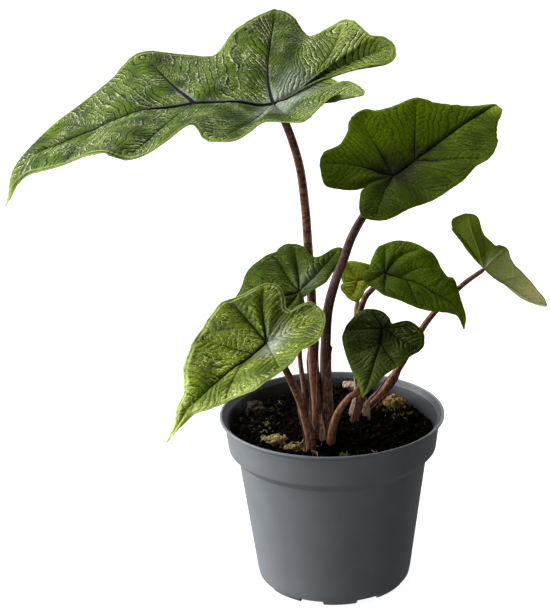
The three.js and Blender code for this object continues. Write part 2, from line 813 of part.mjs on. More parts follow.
// Nursery pot
const potProfile = [
  [0, 0], [20, 0], [22, 3], [33.5, 3], [34.5, 0], [38, 0], [39.5, 1], [41.2, 3.5], [41.9, 7],
  [50.6, 72.2], [55.6, 77.2], [56, 80], [57.4, 92.5], [potRadius, 94.2], [potRadius, potHeight],
  [58.9, potHeight], [56.2, 92.8], [54.4, 80], [54, 78], [49.2, 72.5], [40.7, 7], [39, 4.5],
  [0, 4.5]
];
const potLathe = new THREE.LatheGeometry(potProfile.map((p) => new THREE.Vector2(...p)), potSides);
potLathe.rotateX(Math.PI / 2);
let pot = toSolid(potLathe);
if (pot.volume() < 0) {
  throw new Error('pot profile turned inside out');
}
for (let i = 0; i < footCount; i += 1) {
  const notch = new THREE.BoxGeometry(footNotchDepth, footNotchWidth, footNotchHeight * 2);
  notch.translate(footCircle, 0, 0);
  notch.rotateZ(-Math.PI / 2 + 2 * Math.PI * (i + 0.5) / footCount + THREE.MathUtils.degToRad(footTurn));
  pot = pot.subtract(toSolid(notch));
}
for (let i = 0; i < drainCount; i += 1) {
  const drain = new THREE.CylinderGeometry(drainRadius, drainRadius, drainDepth, drainSides);
  drain.rotateX(Math.PI / 2);
  drain.translate(drainCircle, 0, drainDepth / 2);
  drain.rotateZ(2 * Math.PI * i / drainCount);
  pot = pot.subtract(toSolid(drain));
}
addMesh('nursery_pot', fromSolid(pot), palette.pot);

export default group;
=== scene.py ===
# %% [markdown]
# # A potted alocasia, dressed for its portrait
# The CAD model of this plant already stands in the shared frame: eight quilted leaves on
# brown stalks, a soil plug, some bark and a grey nursery pot. This lesson keeps every part
# where it is and gives each one the surface that a person would see from a step away.
# All lengths below are millimetres until the moment they become mesh points, in metres.

# %% Load the frame
import math
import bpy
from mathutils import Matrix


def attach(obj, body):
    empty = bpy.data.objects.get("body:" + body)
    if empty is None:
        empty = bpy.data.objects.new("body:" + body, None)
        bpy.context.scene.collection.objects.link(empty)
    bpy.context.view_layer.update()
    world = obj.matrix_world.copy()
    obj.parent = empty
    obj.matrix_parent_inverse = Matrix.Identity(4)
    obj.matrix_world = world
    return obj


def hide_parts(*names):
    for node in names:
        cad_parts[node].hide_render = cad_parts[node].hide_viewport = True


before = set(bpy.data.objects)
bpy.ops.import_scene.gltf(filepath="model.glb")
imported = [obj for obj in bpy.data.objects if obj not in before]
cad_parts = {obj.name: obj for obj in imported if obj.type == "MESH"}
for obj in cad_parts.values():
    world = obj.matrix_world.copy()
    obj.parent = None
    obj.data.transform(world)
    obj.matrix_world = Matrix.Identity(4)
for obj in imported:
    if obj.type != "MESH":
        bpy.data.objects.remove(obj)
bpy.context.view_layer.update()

from types import SimpleNamespace

import bpy
import numpy as np
from mathutils import Matrix, Vector

MM = 0.001

# %% [markdown]
# ## Camera
# The picture was taken from a little above the rim, looking down by nineteen degrees. The
# camera stands 900 mm in front of the pot's axis. Its three directions are worked out from
# yaw, pitch and roll, and written into one matrix, so no constraint is needed.

# %% Camera
YAW, PITCH, ROLL = (math.radians(v) for v in (-1.83, 19.07, -1.55))
CAMERA_PLACE = (0.0, -0.9, 0.46818)
FOCAL_PIXELS, PICTURE_HEIGHT, SENSOR = 1817.76, 608, 36.0
forward = Vector((
    math.sin(YAW) * math.cos(PITCH), math.cos(YAW) * math.cos(PITCH), -math.sin(PITCH)))
level = Vector((math.cos(YAW), -math.sin(YAW), 0.0))
upward = level.cross(forward)
camera_right = level * math.cos(ROLL) + upward * math.sin(ROLL)
camera_up = upward * math.cos(ROLL) - level * math.sin(ROLL)

bpy.ops.object.select_all(action="DESELECT")
bpy.ops.object.camera_add(location=CAMERA_PLACE)
camera = bpy.context.object
camera.name = "portrait_camera"
turn = Matrix((camera_right, camera_up, -forward)).transposed()
camera.matrix_world = Matrix.Translation(CAMERA_PLACE) @ turn.to_4x4()
camera.data.sensor_width = SENSOR
camera.data.lens = FOCAL_PIXELS * SENSOR / PICTURE_HEIGHT
camera.data.clip_end = 50.0
bpy.context.scene.camera = camera
print("Camera lens", round(camera.data.lens, 2), "mm")

# %% [markdown]
# ## Writing a finish as arithmetic
# A material is a net of nodes, and long nets are hard to read. `Link` wraps one output
# socket and turns +, - and * into Math nodes, so a mask reads like a formula. `NodeNet` has
# one method that makes any other node, and `Finish` is the net of one material. Most
# finishes here are layers of colour, each laid over the last one through a mask of its own.

# %% Link, NodeNet and Finish
class Link:
    """One output socket of a net, with arithmetic on it."""

    def __init__(self, net, socket):
        self.net, self.socket = net, socket

    def __add__(self, other):
        return self.net.maths("ADD", self, other)

    def __sub__(self, other):
        return self.net.maths("SUBTRACT", self, other)

    def __rsub__(self, other):
        return self.net.maths("SUBTRACT", other, self)

    def __mul__(self, other):
        return self.net.maths("MULTIPLY", self, other)

    __radd__ = __add__
    __rmul__ = __mul__


class NodeNet:
    """A node tree, and short words for the nodes it needs."""

    def __init__(self, tree):
        self.tree = tree

    def node(self, kind, settings=None, sockets=None, out=0):
        """Adds a node, sets it up, and gives its sockets their values or links."""
        made = self.tree.nodes.new(kind)
        for key, value in (settings or {}).items():
            setattr(made, key, value)
        for key, value in (sockets or {}).items():
            if isinstance(value, Link):
                self.tree.links.new(value.socket, made.inputs[key])
            else:
                made.inputs[key].default_value = value
        return Link(self, made.outputs[out])

    def maths(self, operation, *values):
        return self.node("ShaderNodeMath", {"operation": operation}, dict(enumerate(values)))

    def vectors(self, operation, *values, out=0):
        settings = {"operation": operation}
        return self.node("ShaderNodeVectorMath", settings, dict(enumerate(values)), out)

    def axis(self, vector, number):
        return self.node("ShaderNodeSeparateXYZ", None, {0: vector}, number)

    def object_place(self, scale=1000.0):
        """The place on the object, in millimetres unless another scale is given."""
        place = self.node("ShaderNodeTexCoord", out=3)
        return self.vectors("MULTIPLY", place, (scale, scale, scale))

    def value_of(self, name):
        """A measure that the mesh carries at its points."""
        return self.node("ShaderNodeAttribute", {"attribute_name": name}, out=2)

    def noise(self, vector, scale, detail=3.0, rough=0.6, stretch=None, out=0):
        if stretch:
            vector = self.vectors("MULTIPLY", vector, stretch)
        sockets = {"Vector": vector, "Scale": scale, "Detail": detail, "Roughness": rough}
        return self.node("ShaderNodeTexNoise", None, sockets, out)

    def cells(self, vector, scale, feature="F1", out=0):
        sockets = {"Vector": vector, "Scale": scale}
        return self.node("ShaderNodeTexVoronoi", {"feature": feature}, sockets, out)

    def ease(self, value, low, high, start=0.0, end=1.0):
        """A smooth step from start to end while the value goes from low to high."""
        sockets = dict(enumerate((value, low, high, start, end)))
        return self.node("ShaderNodeMapRange", {"interpolation_type": "SMOOTHSTEP"}, sockets)

    def layered(self, colour, *layers):
        """Lays colours over a first one, each through its mask."""
        for mask, upper in layers:
            sockets = {0: mask, 6: colour, 7: upper}
            colour = self.node("ShaderNodeMix", {"data_type": "RGBA"}, sockets, out=2)
        return colour


class Finish(NodeNet):
    """A material with one Principled surface."""

    def __init__(self, name):
        self.material = bpy.data.materials.new(name)
        self.material.use_nodes = True
        super().__init__(self.material.node_tree)
        self.tree.nodes.clear()

    def finish(self, colour, rough, shine, relief=None, others=None):
        """Closes the net. The relief is a height in millimetres, for the bump."""
        sockets = {"Base Color": colour, "Roughness": rough, "Specular IOR Level": shine}
        if relief:
            heights = {"Height": relief, "Distance": MM}
            sockets["Normal"] = self.node("ShaderNodeBump", None, heights)
        shader = self.node("ShaderNodeBsdfPrincipled", None, {**sockets, **(others or {})})
        output = self.tree.nodes.new("ShaderNodeOutputMaterial")
        self.tree.links.new(shader.socket, output.inputs["Surface"])
        return self.material


def tone(red, green, blue):
    """A colour as it reads on a screen, from 0 to 255, made linear."""
    parts = [v / 255 for v in (red, green, blue)]
    linear = [v / 12.92 if v <= 0.04045 else ((v + 0.055) / 1.055) ** 2.4 for v in parts]
    return (*linear, 1.0)


print("Ready to paint")

# %% [markdown]
# ## Light
# The light comes from a large window-like panel on the left, which gives the pot its bright
# left side and leaves its right side dark. A panel above puts a sheen on the leaves, a weak
# one in front lifts the shadows, and a small one behind draws a thin rim on the right. The
# surround is a studio that is bright behind, above and to the left, and dark on the right,
# so its strength follows the direction looked at.

# %% Panels of light
def light_panel(name, place, aim, size, power, tint=(1.0, 1.0, 1.0)):
    """A glowing rectangle, turned to the point of the pot's axis at the height aim."""
    bpy.ops.object.light_add(type="AREA", location=place)
    lamp = bpy.context.object
    lamp.name, lamp.data.shape = name, "RECTANGLE"
    lamp.data.size, lamp.data.size_y = size
    lamp.data.energy, lamp.data.color = power, tint
    heading = Vector((0.0, 0.0, aim)) - Vector(place)
    lamp.rotation_euler = heading.to_track_quat("-Z", "Y").to_euler()


light_panel("window_panel", (-1.15, 0.12, 0.5), 0.14, (1.3, 1.3), 36.0, (0.95, 0.98, 1.0))
light_panel("top_panel", (-0.35, 0.55, 1.35), 0.2, (1.1, 0.9), 16.0)
light_panel("front_fill", (-0.45, -1.6, 0.55), 0.12, (0.9, 0.9), 6.0)
light_panel("rim_panel", (0.75, 0.62, 0.16), 0.05, (0.3, 0.3), 2.5)

# %% Surround
surround = bpy.data.worlds.new("surround")
bpy.context.scene.world = surround
surround.use_nodes = True
studio = NodeNet(surround.node_tree)
looked = studio.node("ShaderNodeTexCoord")
to_light = studio.vectors("DOT_PRODUCT", looked, (-0.72, 0.5, 0.48), out=1)
downward = studio.vectors("DOT_PRODUCT", looked, (-0.3, 0.0, -0.95), out=1)
glow = studio.ease(to_light, -0.25, 0.95) * 0.62 + studio.ease(downward, -0.1, 1.0) * 0.2 + 0.05
backdrop = surround.node_tree.nodes["Background"]
backdrop.inputs["Color"].default_value = (0.97, 0.98, 1.0, 1.0)
surround.node_tree.links.new(glow.socket, backdrop.inputs["Strength"])
bpy.context.scene.view_settings.view_transform = "Standard"

# %% [markdown]
# ## Shaping helpers
# Leaves, stalks and sheaths are all one flat grid that is bent by a formula, so one helper
# adds the grid and tells each point's row and ring. Another applies a modifier at once, so
# that no live modifier is left on a finished piece. A finished piece is then handed over in
# one call. The last helpers draw smooth lines through a few points, read values along a
# line, and make the random heights that roughen leaves, soil and bark.

# %% Pieces and their points
def only(piece):
    bpy.ops.object.select_all(action="DESELECT")
    piece.select_set(True)
    bpy.context.view_layer.objects.active = piece


def new_piece(name, operator, **settings):
    """Adds a primitive with nothing else selected, and names it."""
    bpy.ops.object.select_all(action="DESELECT")
    operator(calc_uvs=False, **settings)
    piece = bpy.context.object
    piece.name = piece.data.name = name
    return piece


def points_of(piece):
    """Every point of a mesh, in millimetres."""
    flat = np.empty(len(piece.data.vertices) * 3)
    piece.data.vertices.foreach_get("co", flat)
    return flat.reshape(-1, 3) / MM


def move_points(piece, points):
    """Puts every point of a mesh at its place, given in millimetres."""
    piece.data.vertices.foreach_set("co", (np.asarray(points) * MM).ravel())
    piece.data.update()


def grid_of(name, rows, rings):
    """A flat grid, with the row and the ring of each of its points."""
    piece = new_piece(name, bpy.ops.mesh.primitive_grid_add,
                      x_subdivisions=rows, y_subdivisions=rings, size=1.0)
    shares = points_of(piece)[:, :2] * MM + 0.5
    row, ring = np.rint(shares * (rows, rings)).astype(int).T
    return piece, row, ring


def join(name, pieces):
    only(pieces[0])
    for piece in pieces:
        piece.select_set(True)
    bpy.ops.object.join()
    pieces[0].name = pieces[0].data.name = name
    return pieces[0]


def apply_modifier(piece, kind, **settings):
    only(piece)
    modifier = piece.modifiers.new(kind.lower(), kind)
    for key, value in settings.items():
        setattr(modifier, key, value)
    bpy.ops.object.modifier_apply(modifier=modifier.name)


def edit_all(piece, operator, **settings):
    """Runs one operator of edit mode on a whole mesh."""
    only(piece)
    bpy.ops.object.mode_set(mode="EDIT")
    bpy.ops.mesh.select_all(action="SELECT")
    operator(**settings)
    bpy.ops.object.mode_set(mode="OBJECT")


def weld(piece, distance):
    edit_all(piece, bpy.ops.mesh.remove_doubles, threshold=distance * MM)


def outward(piece):
    edit_all(piece, bpy.ops.mesh.normals_make_consistent, inside=False)


print("Helpers for pieces ready")

# %% Handing a piece over
def smooth(piece, degrees):
    only(piece)
    bpy.ops.object.shade_smooth_by_angle(angle=math.radians(degrees))


def hand_over(piece, slot, *nodes):
    """Says what a finished piece rides on and stands for. The slot is not used."""
    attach(piece, "root")
    if nodes:
        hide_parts(*nodes)
    count = sum(len(face.vertices) - 2 for face in piece.data.polygons)
    print(piece.name, count, "triangles")


def complete(piece, finish, degrees, slot, *nodes):
    """Gives a shaped piece its finish and its smooth shading, and hands it over."""
    piece.data.materials.append(finish)
    smooth(piece, degrees)
    hand_over(piece, slot, *nodes)


def complete_paper(piece, thickness, finish, slot, *nodes):
    """The same for a thin strip, which first gets its thickness."""
    apply_modifier(piece, "SOLIDIFY", thickness=thickness * MM, offset=0.0)
    outward(piece)
    complete(piece, finish, 55, slot, *nodes)


print("Handing over ready")

# %% Lines and rough surfaces
RUMPLE_SPAN = 1.6      # brings the sum of the waves to about -1 to 1


def unit(vectors):
    return vectors / np.maximum(np.linalg.norm(vectors, axis=-1, keepdims=True), 1e-12)


def eased(value, low, high):
    """0 below low, 1 above high, and a smooth step between them."""
    share = np.clip((value - low) / (high - low), 0, 1)
    return share * share * (3 - 2 * share)


def path_through(points, share):
    """A smooth line through points, at shares from 0 to 1 of its length in points."""
    line = np.asarray(points, float)
    spans = len(line) - 1
    place = np.clip(np.asarray(share, float), 0, 1) * spans
    i = np.minimum(place.astype(int), spans - 1)
    w = (place - i)[..., None]
    padded = np.vstack([2 * line[0] - line[1], line, 2 * line[-1] - line[-2]])
    a, b, c, d = padded[i], padded[i + 1], padded[i + 2], padded[i + 3]
    bend, twist = 2 * a - 5 * b + 4 * c - d, 3 * b - a - 3 * c + d
    return 0.5 * (2 * b + (c - a) * w + bend * w**2 + twist * w**3)


def lengths_along(line):
    """How far along a line each of its points lies."""
    return np.concatenate([[0], np.cumsum(np.linalg.norm(np.diff(line, axis=0), axis=1))])


def read_along(target, along, values):
    """Rows of values, read at target places along a line."""
    return np.stack([np.interp(target, along, column) for column in values.T], axis=1)


def rumple(places, cell, seed, waves=24):
    """A smooth random height between about -1 and 1, with bumps of the size of cell."""
    rng = np.random.default_rng(seed)
    total = 0.0
    for _ in range(waves):
        heading = unit(rng.normal(size=places.shape[-1]))
        length = cell * rng.uniform(1.3, 3.0)
        phase = rng.uniform(0, 2 * math.pi)
        total = total + np.sin(places @ heading * 2 * math.pi / length + phase)
    return total / math.sqrt(waves / 2) / RUMPLE_SPAN


print("Helpers for lines ready")

# %% [markdown]
# ## The leaves, pressed flat
# Each leaf is written as it would lie in a plant press. `midrib` is the line it hangs from,
# with the joint to its stalk at the third point. `slopes` tilt its two halves at places along
# it. `left` and `right` are the margin as (along, across) and, where it isn't 0, a lift. Each
# vein is a point of the margin, a foot on the midrib, a bow and how dark it is. These numbers
# are the CAD model's own, so the fine leaf fills the same space. The first rows say how puffed
# the blade is, how fine its grid is, and how far apart the side veins run.

# %% Leaf table
def pressed(left, right, **facts):
    """The facts of one leaf, with every margin point given a lift."""
    left, right = ([(*point, 0)[:3] for point in margin] for margin in (left, right))
    return {"slot": "leaf_dark", "heading_span": 4, "own_reach": 5, "tip": left[-1][0],
            "left": left, "right": right, **facts}


LEAVES = {}
LEAVES[1] = pressed(
    slot="leaf_bright", heading_span=20, own_reach=7, joint=(-26, -8, 265), quilt=2.2, step=1.05,
    rings=52, pillow=0.42, main_gap=4.4, branch_gap=3.2, zone=4.2, vein=1.35,
    midrib=[(61, -11, 20), (30, -5, 9), (0, 0, 0), (-17, 3, 0), (-38, 7, 0), (-54, 10, -3),
        (-69, 12, -5), (-85, 15, -11), (-101, 18, -18), (-118, 21, -26), (-129, 23, -33),
        (-137, 24, -43), (-145, 25, -60)],
    slopes=[(-60, -12, 40), (0, -8, 36), (80, -10, 36), (120, -18, 28), (165, -28, 15)],
    left=[(-30, -8), (-42, 8, 4), (-52, 26, 4), (-51, 35, 5), (-39, 27, 6), (-33, 42, 8),
        (-27, 59, 9), (-15, 53, 9), (-5, 48, 9), (2, 50, 6), (10, 52, 2), (18, 49), (25, 46),
        (33, 38, 4), (43, 48, 1), (53, 53, -1), (68, 52, -4), (78, 49, 1), (94, 36, 1), (111, 27),
        (124, 21), (148, 7), (157, 4), (166, 0)],
    right=[(-30, -8), (-43, -11, -4), (-61, -8, -4), (-65, -16, -3), (-61, -22), (-54, -25, 2),
        (-47, -37, 2), (-40, -43), (-30, -44, -3), (-18, -47, -6), (-10, -60.5, -1),
        (2, -65.4, 1.5), (15, -62.3, 1.5), (28, -51), (36, -40, -6), (42, -38, -6), (49, -40, -5),
        (60, -41, -2), (72, -40, 2), (87, -35, -2), (104, -29, -2), (124, -20), (136, -15),
        (147, -11.5), (157, -8), (166, 0)],
    left_veins=[(3, 0, 0, 0.3), (6, 0, 0, 0.15), (11, 0, 0, 0.8), (16, 42, 0, 0.6),
        (19, 95, 0, 0.2)],
    right_veins=[(3, 0, 5, 0.35), (7, 0, -8, 1), (11, 0, 5, 1), (18, 41, 1, 1),
        (21, 95, 0, 0.25)])
LEAVES[2] = pressed(
    joint=(34, 18, 220), quilt=1.6, step=0.85, rings=44, pillow=0.1, main_gap=4.6, branch_gap=3.6,
    zone=8.5, vein=0.45,
    midrib=[(-28, -28, -4), (-14, -14, 0), (0, 0, 0), (10, 10, 4), (25, 25, 11), (39, 39, 17),
        (50, 50, 21), (57, 57, 23), (60, 60, 21), (61, 61, 15)],
    slopes=[(-40, 40, -20), (0, 45, -15), (80, 45, -15)],
    left=[(-23, -2), (-29, 0), (-35, 4), (-41, 11), (-34, 22), (-28, 26), (-19, 26), (-11, 32),
        (-4, 38), (14, 39), (22, 34), (34, 30), (47, 27), (55, 18), (70, 7), (82, 2), (87, 1),
        (95, 0)],
    right=[(-23, -2), (-29, -4), (-41, -15), (-39, -23), (-31, -28), (-13, -29), (6, -29),
        (21, -30), (34, -28), (44, -29), (56, -25), (63, -19), (73, -12), (95, 0)],
    left_veins=[(4, 0, 0, 0.8), (9, 0, -2, 1), (12, 17, 0, 0.9)],
    right_veins=[(3, 0, 0, 0.4), (6, 0, 0, 0.5), (9, 17, 0, 0.7)])
LEAVES[3] = pressed(
    slot="leaf_bright", joint=(-31, -72, 161.5), quilt=1.8, step=0.8, rings=42, pillow=0.4,
    main_gap=4.6, branch_gap=3.4, zone=2.6, vein=0.95,
    midrib=[(26, 18, 14), (12, 9, 8), (0, 0, 0), (-10, -7, -6), (-18, -12, -10), (-26, -18, -15),
        (-32, -23, -20), (-38, -26, -25), (-42, -30, -30), (-47, -33, -36)],
    slopes=[(-40, 5, 30), (0, 5, 30), (80, 0, 30)],
    left=[(-20, -8), (-21, -5), (-26, -5), (-32, -3), (-32, 5), (-28, 16), (-21, 25), (-12, 30),
        (-6, 28), (-3, 26), (4, 29), (11, 29), (25, 28), (40, 16), (45, 12), (53, 5), (60, 2),
        (70, 0)],
    right=[(-20, -8), (-23, -13), (-25, -19), (-24, -23), (-21, -26), (-17, -27), (-12, -28),
        (-6, -31), (0, -33), (15, -30), (24, -26), (30, -22), (36, -18), (42, -12), (51, -7),
        (59, -3), (70, 0)],
    left_veins=[(5, 0, 0, 0.12), (11, 0, 0, 0.25), (13, 14, 0, 0.25)],
    right_veins=[(4, 0, 0, 1), (7, 0, 0, 1), (10, 8, 0, 0.6)])
LEAVES[4] = pressed(
    joint=(-15.5, -18, 169.5), quilt=1.2, step=0.75, rings=36, pillow=0.25, main_gap=4.2,
    branch_gap=3.4, zone=3.4, vein=0.6,
    midrib=[(37, 7, 20), (18, 3, 10), (0, 0, 0), (-10, -2, -2), (-21, -4, -7), (-31, -5, -12),
        (-39, -7, -18), (-45, -8, -25)],
    slopes=[(-40, -22, 30), (0, -25, 30), (80, -20, 30)],
    left=[(0, 5), (2, 10), (8, 13), (13, 13), (25, 14), (39, 9), (48, 5), (53, 0)],
    right=[(0, 5), (-6, 4), (-14, 4), (-19, 1), (-26, -3), (-30, -8), (-30, -11), (-26, -13),
        (-19, -13), (-15, -16), (-14, -24), (-10, -30), (-4, -33), (8, -30), (12, -28), (18, -26),
        (25, -21), (31, -14), (40, -6), (53, 0)],
    left_veins=[(3, 0, 0, 0.3), (5, 12, 0, 0.3)],
    right_veins=[(6, 0, 0, 0.5), (11, 0, 0, 1), (13, 0, 0, 0.8), (16, 12, 0, 0.6)])
LEAVES[5] = pressed(
    joint=(29.5, 4, 171), quilt=1.2, step=0.75, rings=34, pillow=0.22, main_gap=4.4,
    branch_gap=3.4, zone=4, vein=0.45,
    midrib=[(-19, 11, 6), (-9, 5, 3), (0, 0, 0), (14, -8, -2), (28, -16, -8), (35, -20, -13),
        (38, -22, -17), (39, -23, -22)],
    slopes=[(-40, 30, 0), (0, 30, 0), (80, 25, -5)],
    left=[(-6, -4), (-9, -1), (-11, 3), (-12, 7), (-13, 13), (-11, 17), (-6, 23), (4, 25),
        (12, 23), (17, 21), (23, 16), (29, 13), (32, 14), (39, 8), (45, 4), (55, 0)],
    right=[(-6, -4), (-9, -6), (-7, -13), (-2, -19), (4, -21), (13, -26), (21, -24), (31, -21),
        (38, -14), (45, -4), (49, -2), (55, 0)],
    left_veins=[(5, 0, 0, 0.4), (8, 0, -5, 0.6), (10, 8, -2, 0.6)],
    right_veins=[(3, 0, 0, 0.5), (5, 0, 0, 0.6), (7, 12, 0, 0.6)])
LEAVES[6] = pressed(
    joint=(27.5, -8, 145), quilt=1.1, step=0.75, rings=32, pillow=0.22, main_gap=4, branch_gap=3,
    zone=3.6, vein=0.4,
    midrib=[(4, 15, 8), (2, 8, 5), (0, 0, 0), (-2, -7, -7), (-6, -22, -13), (-9, -35, -17),
        (-12, -44, -21)],
    slopes=[(-40, 6, 6), (80, 6, 6)],
    left=[(-3, 5), (-4, 9), (-5, 12), (-4, 15), (-2, 18), (3, 23), (12, 23), (18, 18), (26, 13),
        (33, 8), (44, 3), (51, 0)],
    right=[(-3, 5), (-4, 3.5), (-7, 2), (-11, -2), (-12, -8), (-10, -13), (-4, -17), (3, -20),
        (10, -20), (22, -15), (34, -9), (45, -3), (51, 0)],
    left_veins=[(4, 0, 0, 0.5), (6, 0, 0, 0.6), (8, 8, 0, 0.6)],
    right_veins=[(4, 0, 0, 0.5), (7, 0, 0, 0.6), (9, 8, 0, 0.6)])
LEAVES[7] = pressed(
    joint=(83, 28, 165), quilt=0.8, step=0.7, rings=30, pillow=0.12, main_gap=4, branch_gap=3.2,
    zone=1.6, vein=0.35,
    midrib=[(-20, 3, 22), (-10, 1, 11), (0, 0, 0), (8, -1, -6), (17, -2, -12), (25, -3, -16.5),
        (32, -5, -18.5)],
    slopes=[(-30, -12, 60), (-6, -8, 60), (0, -4, 65), (10, -8, 65), (20, -22, 65),
        (40, -35, 65)],
    left=[(-5, 0), (-12, 5), (-20, 9), (-26, 16), (-24, 22), (-14, 20), (-4, 18), (6, 17),
        (14, 12), (22, 11), (30, 11), (36, 8), (39, 4), (39, 0)],
    right=[(-5, 0), (-12, -1.5), (-23, -3), (-28, -3.5), (-32, -7), (-32, -14), (-30, -20),
        (-27, -23), (-24, -23), (-19, -19), (-15, -17), (-10, -17), (-8, -17.5), (-7, -20),
        (-3, -21), (4, -19), (10, -15), (18, -13), (26, -10), (35, -6), (39, 0)],
    left_veins=[(4, 0, 0, 0.5), (7, 0, 0, 0.6), (9, 10, 0, 0.6)],
    right_veins=[(6, 0, 0, 0.5), (14, 0, 0, 0.6), (17, 10, 0, 0.6)])
LEAVES[8] = pressed(
    joint=(15, 34, 157.5), quilt=0.6, step=0.7, rings=22, pillow=0.15, main_gap=3.6, branch_gap=3,
    zone=2, vein=0.3,
    midrib=[(-11, -5, 2), (-5, -3, 1), (0, 0, 0), (6, 3, 0), (12, 6, 0), (19, 9, 1), (25, 12, 2)],
    slopes=[(-40, 40, -35), (40, 40, -35)],
    left=[(-9, -2), (-9.5, 2), (-9, 7), (-3, 12), (2, 13), (7, 11), (11, 9), (17, 6), (28, 0)],
    right=[(-9, -2), (-10, -2.3), (-11, -3.5), (-11, -6), (-9.5, -9), (-8, -12), (-6, -14),
        (-5, -14), (-1, -10), (3, -6), (11, -3), (28, 0)],
    left_veins=[(3, 0, 0, 0.5), (6, 6, 0, 0.5)],
    right_veins=[(5, 0, 0, 0.5), (9, 6, 0, 0.5)])
print(len(LEAVES), "leaves")

# %% [markdown]
# ## From flat to hanging
# `leaf_placer` follows the midrib and sets a direction, a side and an up at every step, and
# each half then leans at its own slope. `leaf_half` turns a vein count and a share of the way
# out into a flat place. The blade swells between the main veins, as on a quilt.

# %% Leaf placing
SPINE_STEPS = 400      # spans of the finely drawn midrib
JOINT_POINT = 2        # the point of every midrib that its stalk joins


def leaf_placer(leaf):
    """Makes the function that hangs flat points of a leaf in the room."""
    line = path_through(leaf["midrib"], np.linspace(0, 1, SPINE_STEPS + 1))
    line += np.array(leaf["joint"], float)
    along = lengths_along(line)
    at_joint = along[round(JOINT_POINT / (len(leaf["midrib"]) - 1) * SPINE_STEPS)]
    index, span = np.arange(SPINE_STEPS + 1), leaf["heading_span"]
    after, before = np.minimum(index + span, SPINE_STEPS), np.maximum(index - span, 0)
    heading = unit(line[after] - line[before])
    slopes = np.array(leaf["slopes"], float).T

    def place(flat):
        target = flat[:, 0] + at_joint
        inside = np.clip(target, 0, along[-1])
        ahead = unit(read_along(inside, along, heading))
        origin = read_along(inside, along, line) + ahead * (target - inside)[:, None]
        side = unit(np.cross(np.array([0.0, 0.0, 1.0]), ahead))
        up = np.cross(ahead, side)
        on_left = flat[:, 1] >= 0
        leans = [np.interp(flat[:, 0], slopes[0], slopes[k]) for k in (1, 2)]
        lean = np.radians(np.where(on_left, *leans))[:, None]
        hand = np.where(on_left, 1.0, -1.0)[:, None]
        out = side * hand * np.cos(lean) + up * np.sin(lean)
        lift = up * np.cos(lean) - side * hand * np.sin(lean)
        return origin + out * np.abs(flat[:, 1:2]) + lift * flat[:, 2:3]

    return place


def leaf_half(leaf, key):
    """Makes the function from vein count and share outwards to a flat place."""
    outline = np.array(leaf[key], float)
    last = len(outline) - 1
    veins = [vein[:3] for vein in leaf[f"{key}_veins"]]
    marks = np.array([(0, 0, 0), *veins, (last, leaf["tip"], 0)], float)

    def flat_at(s, r):
        i = np.minimum(np.floor(s).astype(int), len(marks) - 2)
        w = s - i
        at, foot, bow = (marks[i] * (1 - w)[:, None] + marks[i + 1] * w[:, None]).T
        edge = path_through(outline, at / last)
        run, out = edge[:, 0] - foot, edge[:, 1]
        length = np.maximum(np.hypot(run, out), 1e-9)
        arch = 4 * r * (1 - r)
        push = bow * arch * np.where(out >= 0, 1.0, -1.0) / length
        swell = leaf["quilt"] * np.sin(math.pi * w) ** 2 * arch**0.75
        flat = [foot + run * r + push * out, out * r - push * run, edge[:, 2] * r * r + swell]
        return np.stack(flat, axis=1), foot, length * r

    return flat_at, marks


print("Leaf placing ready")

# %% [markdown]
# ## Veins as distances
# A vein pattern is drawn by the finish, but it needs to know where it is on the leaf. For
# each point this cell measures the distance to the nearest main vein, to the margin and to
# the joint, and two running counts: one that passes a whole number at every side vein that
# starts from the midrib, and one for those that branch from the other main veins.

# %% Vein measuring
FAR = 1e9                           # farther than any point of a leaf
MIDRIB_DARK, VEIN_END = 1.35, 0.9   # a main vein ends at this share of the way to the margin
VEIN_POINTS, MARGIN_POINTS = 25, 240


def from_line(points, line):
    """Distance of flat points to a line of points, and how far along it the nearest place is."""
    start, run, before = line[:-1], np.diff(line, axis=0), lengths_along(line)
    size = np.maximum(np.linalg.norm(run, axis=1), 1e-9)
    best, along = np.full(len(points), FAR), np.zeros(len(points))
    for k in range(len(run)):
        share = np.clip((points - start[k]) @ run[k] / size[k] ** 2, 0, 1)
        gap = np.linalg.norm(points - start[k] - share[:, None] * run[k], axis=1)
        nearer = gap < best
        best = np.where(nearer, gap, best)
        along = np.where(nearer, before[k] + share * size[k], along)
    return best, along


def vein_lines(leaf):
    """The main veins, each with how dark it is, and the two margins, as flat lines."""
    veins = [(np.array([(0.0, 0.0), (leaf["tip"], 0.0)]), MIDRIB_DARK)]
    margins = []
    for key in ("left", "right"):
        flat_at = leaf_half(leaf, key)[0]
        for i, vein in enumerate(leaf[f"{key}_veins"], start=1):
            share = np.linspace(0, VEIN_END, VEIN_POINTS)
            line = flat_at(np.full(VEIN_POINTS, float(i)), share)[0]
            veins.append((line[:, :2], vein[3]))
        margins.append(path_through(leaf[key], np.linspace(0, 1, MARGIN_POINTS))[:, :2])
    return veins, margins


